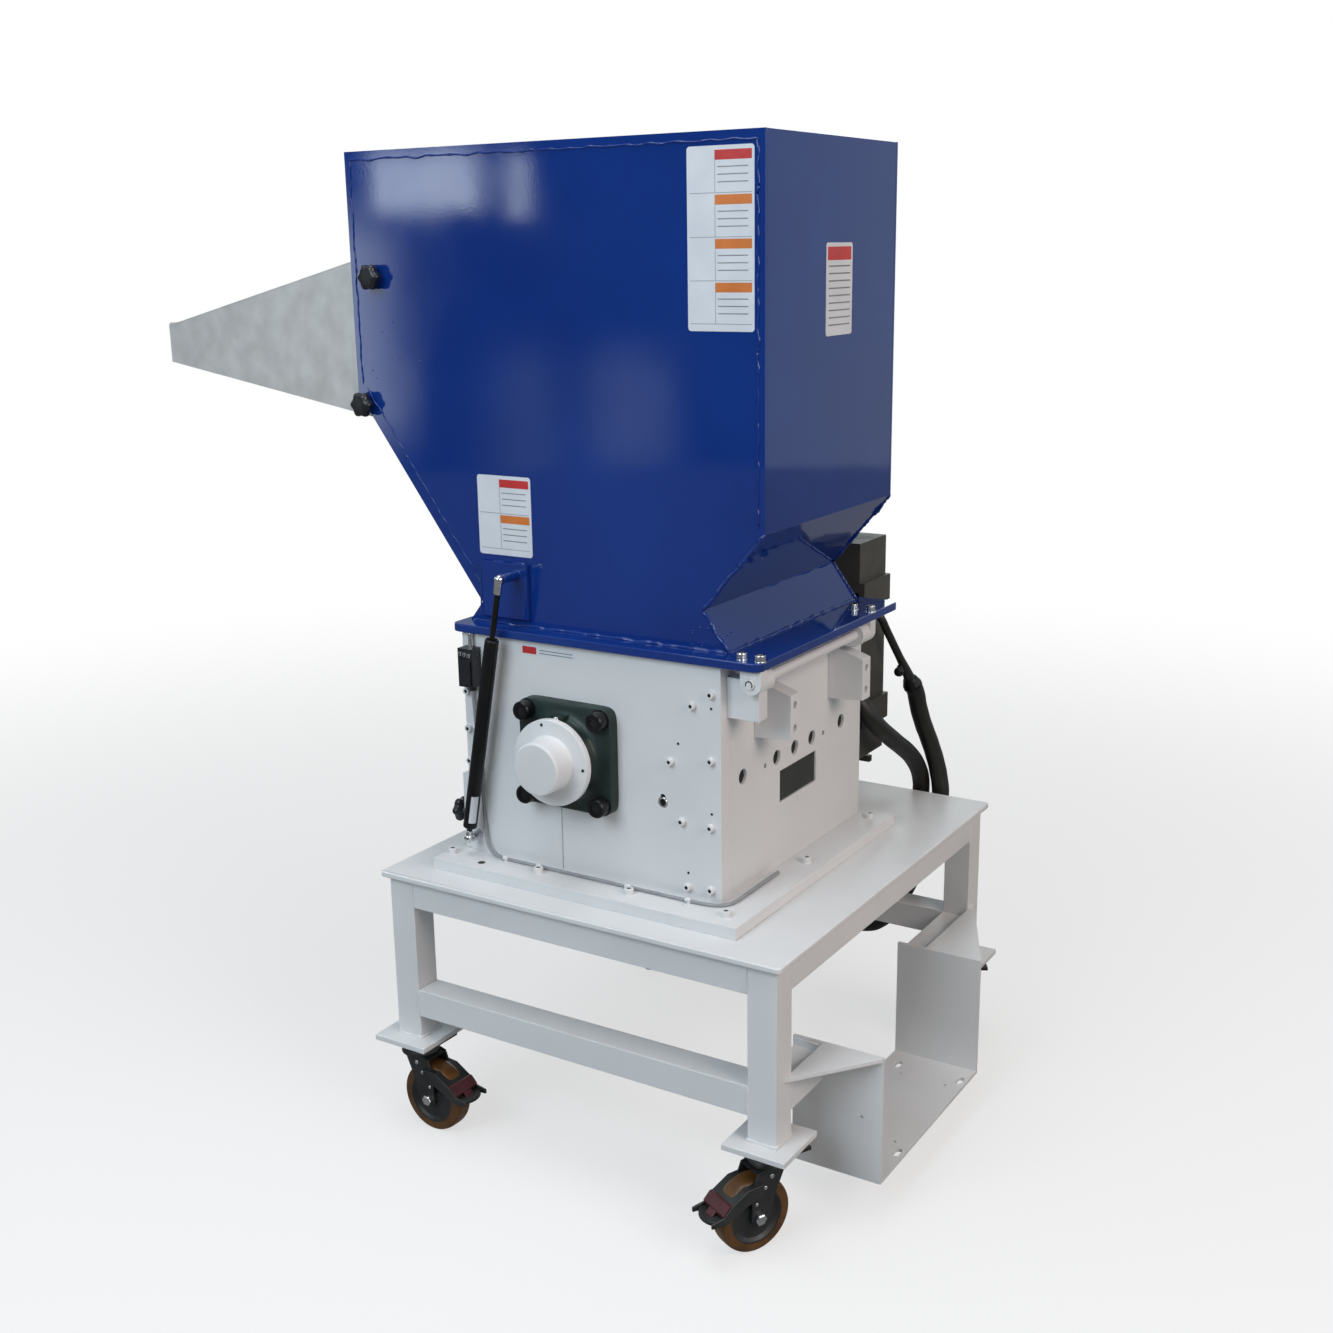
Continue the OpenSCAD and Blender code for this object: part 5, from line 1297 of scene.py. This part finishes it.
def label(name, plane, place, u, v, fields, bars, body, slot):
    """Film with a number of fields one over the other and a colour bar in each."""
    u0, u1 = u
    v0, v1 = v
    side = 1 if u1 > u0 else -1
    plates = [film(plane, place, min(u), max(u), v0, v1, 0.05, 0.35, 5)]
    lines, reds, oranges = [], [], []
    pitch = (v1 - v0 - 14) / fields
    split = u0 + side * 0.42 * abs(u1 - u0)
    for n, bar in zip(range(fields), bars):
        top = v1 - 5 - n * pitch
        ends = sorted((split, u1 - side * 4))
        group = reds if bar == "red" else oranges
        group.append(film(plane, place, ends[0], ends[1], top - 0.24 * pitch, top - 1, 0.4, 0.12, 1.0))
        whole = sorted((u0 + side * 4, u1 - side * 4))
        lines.append(film(plane, place, whole[0], whole[1], top - pitch + 1.2, top - pitch + 2.0,
                          0.4, 0.08, 0.3))
        lines.append(film(plane, place, split - 0.4, split + 0.4, top - pitch + 2, top - 1, 0.4, 0.08, 0.3))
        for row in range(3):
            height = top - (0.38 + 0.17 * row) * pitch
            lines.append(film(plane, place, ends[0] + 4, ends[1] - 6, height - 1.6, height, 0.4, 0.06, 0.3))
    add_piece(name + "_film", *joined(*plates), LABEL, body, slot)
    add_piece(name + "_lines", *joined(*lines), GREY, body, slot)
    for tone, group, finish_of in (("red", reds, RED), ("orange", oranges, ORANGE)):
        if group:
            add_piece(name + "_" + tone, *joined(*group), finish_of, body, slot)


label("near_label", "x", 224, (152, 263), (1387, 1645), 4, ["red", "orange", "orange", "orange"],
      "hopper", "blue_paint")
label("low_label", "x", 224, (-256, -148), (1021, 1152), 2, ["red", "orange"], "hopper", "blue_paint")
rear_film = film("y", 280, -60, 31, 1371, 1510, 0.05, 0.35, 5)
rear_bar = film("y", 280, -55, 26, 1484, 1504, 0.4, 0.12, 1.0)
rear_lines = [film("y", 280, -52, 22, z, z + 2.2, 0.4, 0.06, 0.3) for z in range(1386, 1478, 11)]
add_piece("rear_label_film", *rear_film, LABEL, "hopper", "blue_paint")
add_piece("rear_label_red", *rear_bar, RED, "hopper", "blue_paint")
add_piece("rear_label_lines", *joined(*rear_lines), GREY, "hopper", "blue_paint")
wall_film = film("x", 250, -158, -52, 866, 882, 0.05, 0.35, 1.5)
wall_bar = film("x", 250, -156, -128, 868, 880, 0.4, 0.12, 1.0)
wall_lines = [film("x", 250, -122, -56, z, z + 1.6, 0.4, 0.06, 0.3) for z in (870, 875)]
add_piece("wall_label_film", *wall_film, LABEL, "root", "white_paint")
add_piece("wall_label_red", *wall_bar, RED, "root", "white_paint")
add_piece("wall_label_lines", *joined(*wall_lines), GREY, "root", "white_paint")

# %% [markdown]
# Small things that a careful look finds: the seam of the near wall's lower plate, four dowel ends
# beside its screws, a screw in the keyhole, plugs in the rear wall, the lead's clips, a hole in the
# base plate and the turned face of the hinge pin with its arc groove. The grey line of the seam,
# the dark core of the keyhole, the dark disc of the base plate's hole and the dark arc of the groove
# are painted shade. The ports and the sight window of the rear wall look dark in the photograph,
# because the chamber behind them lies in shade, so each port has a dark end of painted shade and
# the window a glass pane whose darkness is painted shade, a few millimetres inside the wall's outer
# face.

# %% Small parts
NEAR_FACE, REAR_FACE = 250, 218
PORTS, PORT_Z = (-171, -59, 4, 67, 181), 695.6
DOWELS = [(201, 822), (141, 757), (201, 651), (157, 545)]
dowel = rounded([(0, -1), (2.2, -1), (2.2, 0.4), (0, 0.4)], 0.3)
marks = [turned(dowel, at(NEAR_FACE, y, z), (1, 0, 0), 16) for y, z in DOWELS]
add_piece("dowel_ends", *joined(*marks), SHADOW, "root", "white_paint")
# The seam's grey strip is painted shade, the shadow in the joint. The white lip beside it is plain paint.
seam = block(at(249.4, -88.2, 503), at(250.35, -86.4, 619))
seam_lip = block(at(249.4, -86.4, 503), at(250.5, -85.2, 619))
add_piece("wall_seam", *seam, LEAD, "root", "white_paint")
add_piece("wall_seam_lip", *seam_lip, WHITE, "root", "white_paint")
ring = [(5.2, -3), (8.4, -3), (8.4, -1), (7.6, 0.2), (5.6, 0.2), (5.2, -1)]
key_ring = turned(ring, at(NEAR_FACE, 111, 655), (1, 0, 0), 32)
add_piece("keyhole_ring", *key_ring, CHROME, "root", "bright_steel")
# The keyhole's dark core is painted shade: the shadow inside the screw's socket and the slot above it.
key_shade = [turned([(0, -9), (5.2, -9), (5.2, -4), (0, -4)], at(NEAR_FACE, 111, 655), (1, 0, 0), 24),
            turned(rounded([(0, -10), (5.6, -10), (5.6, -2), (0, -1)], 1), at(NEAR_FACE, 111, 669),
                   (1, 0, 0), 24)]
add_piece("keyhole_shade", *joined(*key_shade), SHADOW, "root", "bright_steel")
# Each port's dark end is painted shade: the shadow of the chamber seen through the port.
port_disc = [(0, -6.5), (12.4, -6.5), (12.4, -5.5), (0, -5.5)]
port_shade_discs = [turned(port_disc, at(x, REAR_FACE, PORT_Z), (0, 1, 0), 32) for x in PORTS]
add_piece("port_shade_discs", *joined(*port_shade_discs), SHADOW, "root", "white_paint")
# The pane stands for the sight window's glass. Its dark colour is painted shade of the chamber behind it.
pane = block(at(-74.8, 211, 614.2), at(56.8, 214.5, 668.8))
add_piece("window_pane", *pane, GLASS, "root", "white_paint")
plugs = [turned(rounded([(0, -1), (4.2, -1), (4.2, 0.4), (0, 0.6)], 0.3), at(x, REAR_FACE, z), (0, 1, 0), 20)
         for x, z in ((108, 693), (-101, 693))]
add_piece("rear_plugs", *joined(*plugs), GREY, "root", "white_paint")
# The base plate's hole is a dark disc of painted shade lying on the plate's face.
base_hole_shade = turned([(0, -1), (6.5, -1), (6.5, 0.15), (0, 0.15)], at(294.5, -226.6, 502), (0, 0, 1), 24)
add_piece("base_hole_shade", *base_hole_shade, DARK, "root", "white_paint")
clips = []
for y in (-196, -126, 52, 166):
    saddle = [(0, 262.4, 0), (0, 262.4, 5.5), (0, 264.5, 7.8), (0, 268, 7.8), (0, 270, 5.5), (0, 270, 0)]
    outline = [(x, y - 5, 502 + z) for _, x, z in saddle]
    clips.append(slab([at(*p) for p in outline], (0, 0, 0), (0, 10 * MM, 0)))
    clips.append(block(at(270, y - 5, 502), at(278, y + 5, 503.6)))
add_piece("lead_clips", *joined(*clips), WHITE, "root", "grey_plastic", bevel=0.5)
clip_seats = [(at(274.5, y, 503.6), (0, 0, 1), 3.0, 2.0, 0) for y in (-196, -126, 52, 166)]
screw_group("clip_screws", clip_seats, CHROME, "root", "bright_steel")
# The groove on the hinge pin's face is a thin dark arc of painted shade laid on the face.
arc = np.radians(np.linspace(-40, 200, 24))
groove = np.array([at(255.6, 270 + 5.6 * math.cos(t), 870 + 5.6 * math.sin(t)) for t in arc])
add_piece("pin_groove_shade", *swept(groove, 0.8, 8, upward=(1, 0, 0)), SHADOW, "root", "white_paint")
bottom, top = spring_ends()
spring_d = axes_along(top - bottom)[0]
wrap = np.linspace(-0.55, 0.55, 9)
facing = np.array([0.62, 0.78, 0.0])
facing = facing - spring_d * (facing @ spring_d)
facing /= np.linalg.norm(facing)
sideways = np.cross(spring_d, facing)
across = [math.cos(a) * facing + math.sin(a) * sideways for a in wrap]
rows = [bottom + spring_d * h * MM for h in np.linspace(34, 84, 4)]
patch = [[start + 12.15 * MM * way for way in across] for start in rows]
inner = [[start + 11.9 * MM * way for way in across] for start in rows]
sheet_points = np.concatenate([np.reshape(patch, (-1, 3)), np.reshape(inner, (-1, 3))])
sheet_faces = np.concatenate([grid_quads(4, 9), grid_quads(4, 9) + 36])
add_piece("spring_label", sheet_points, sheet_faces, LABEL, "gas_cylinder", "black_steel")
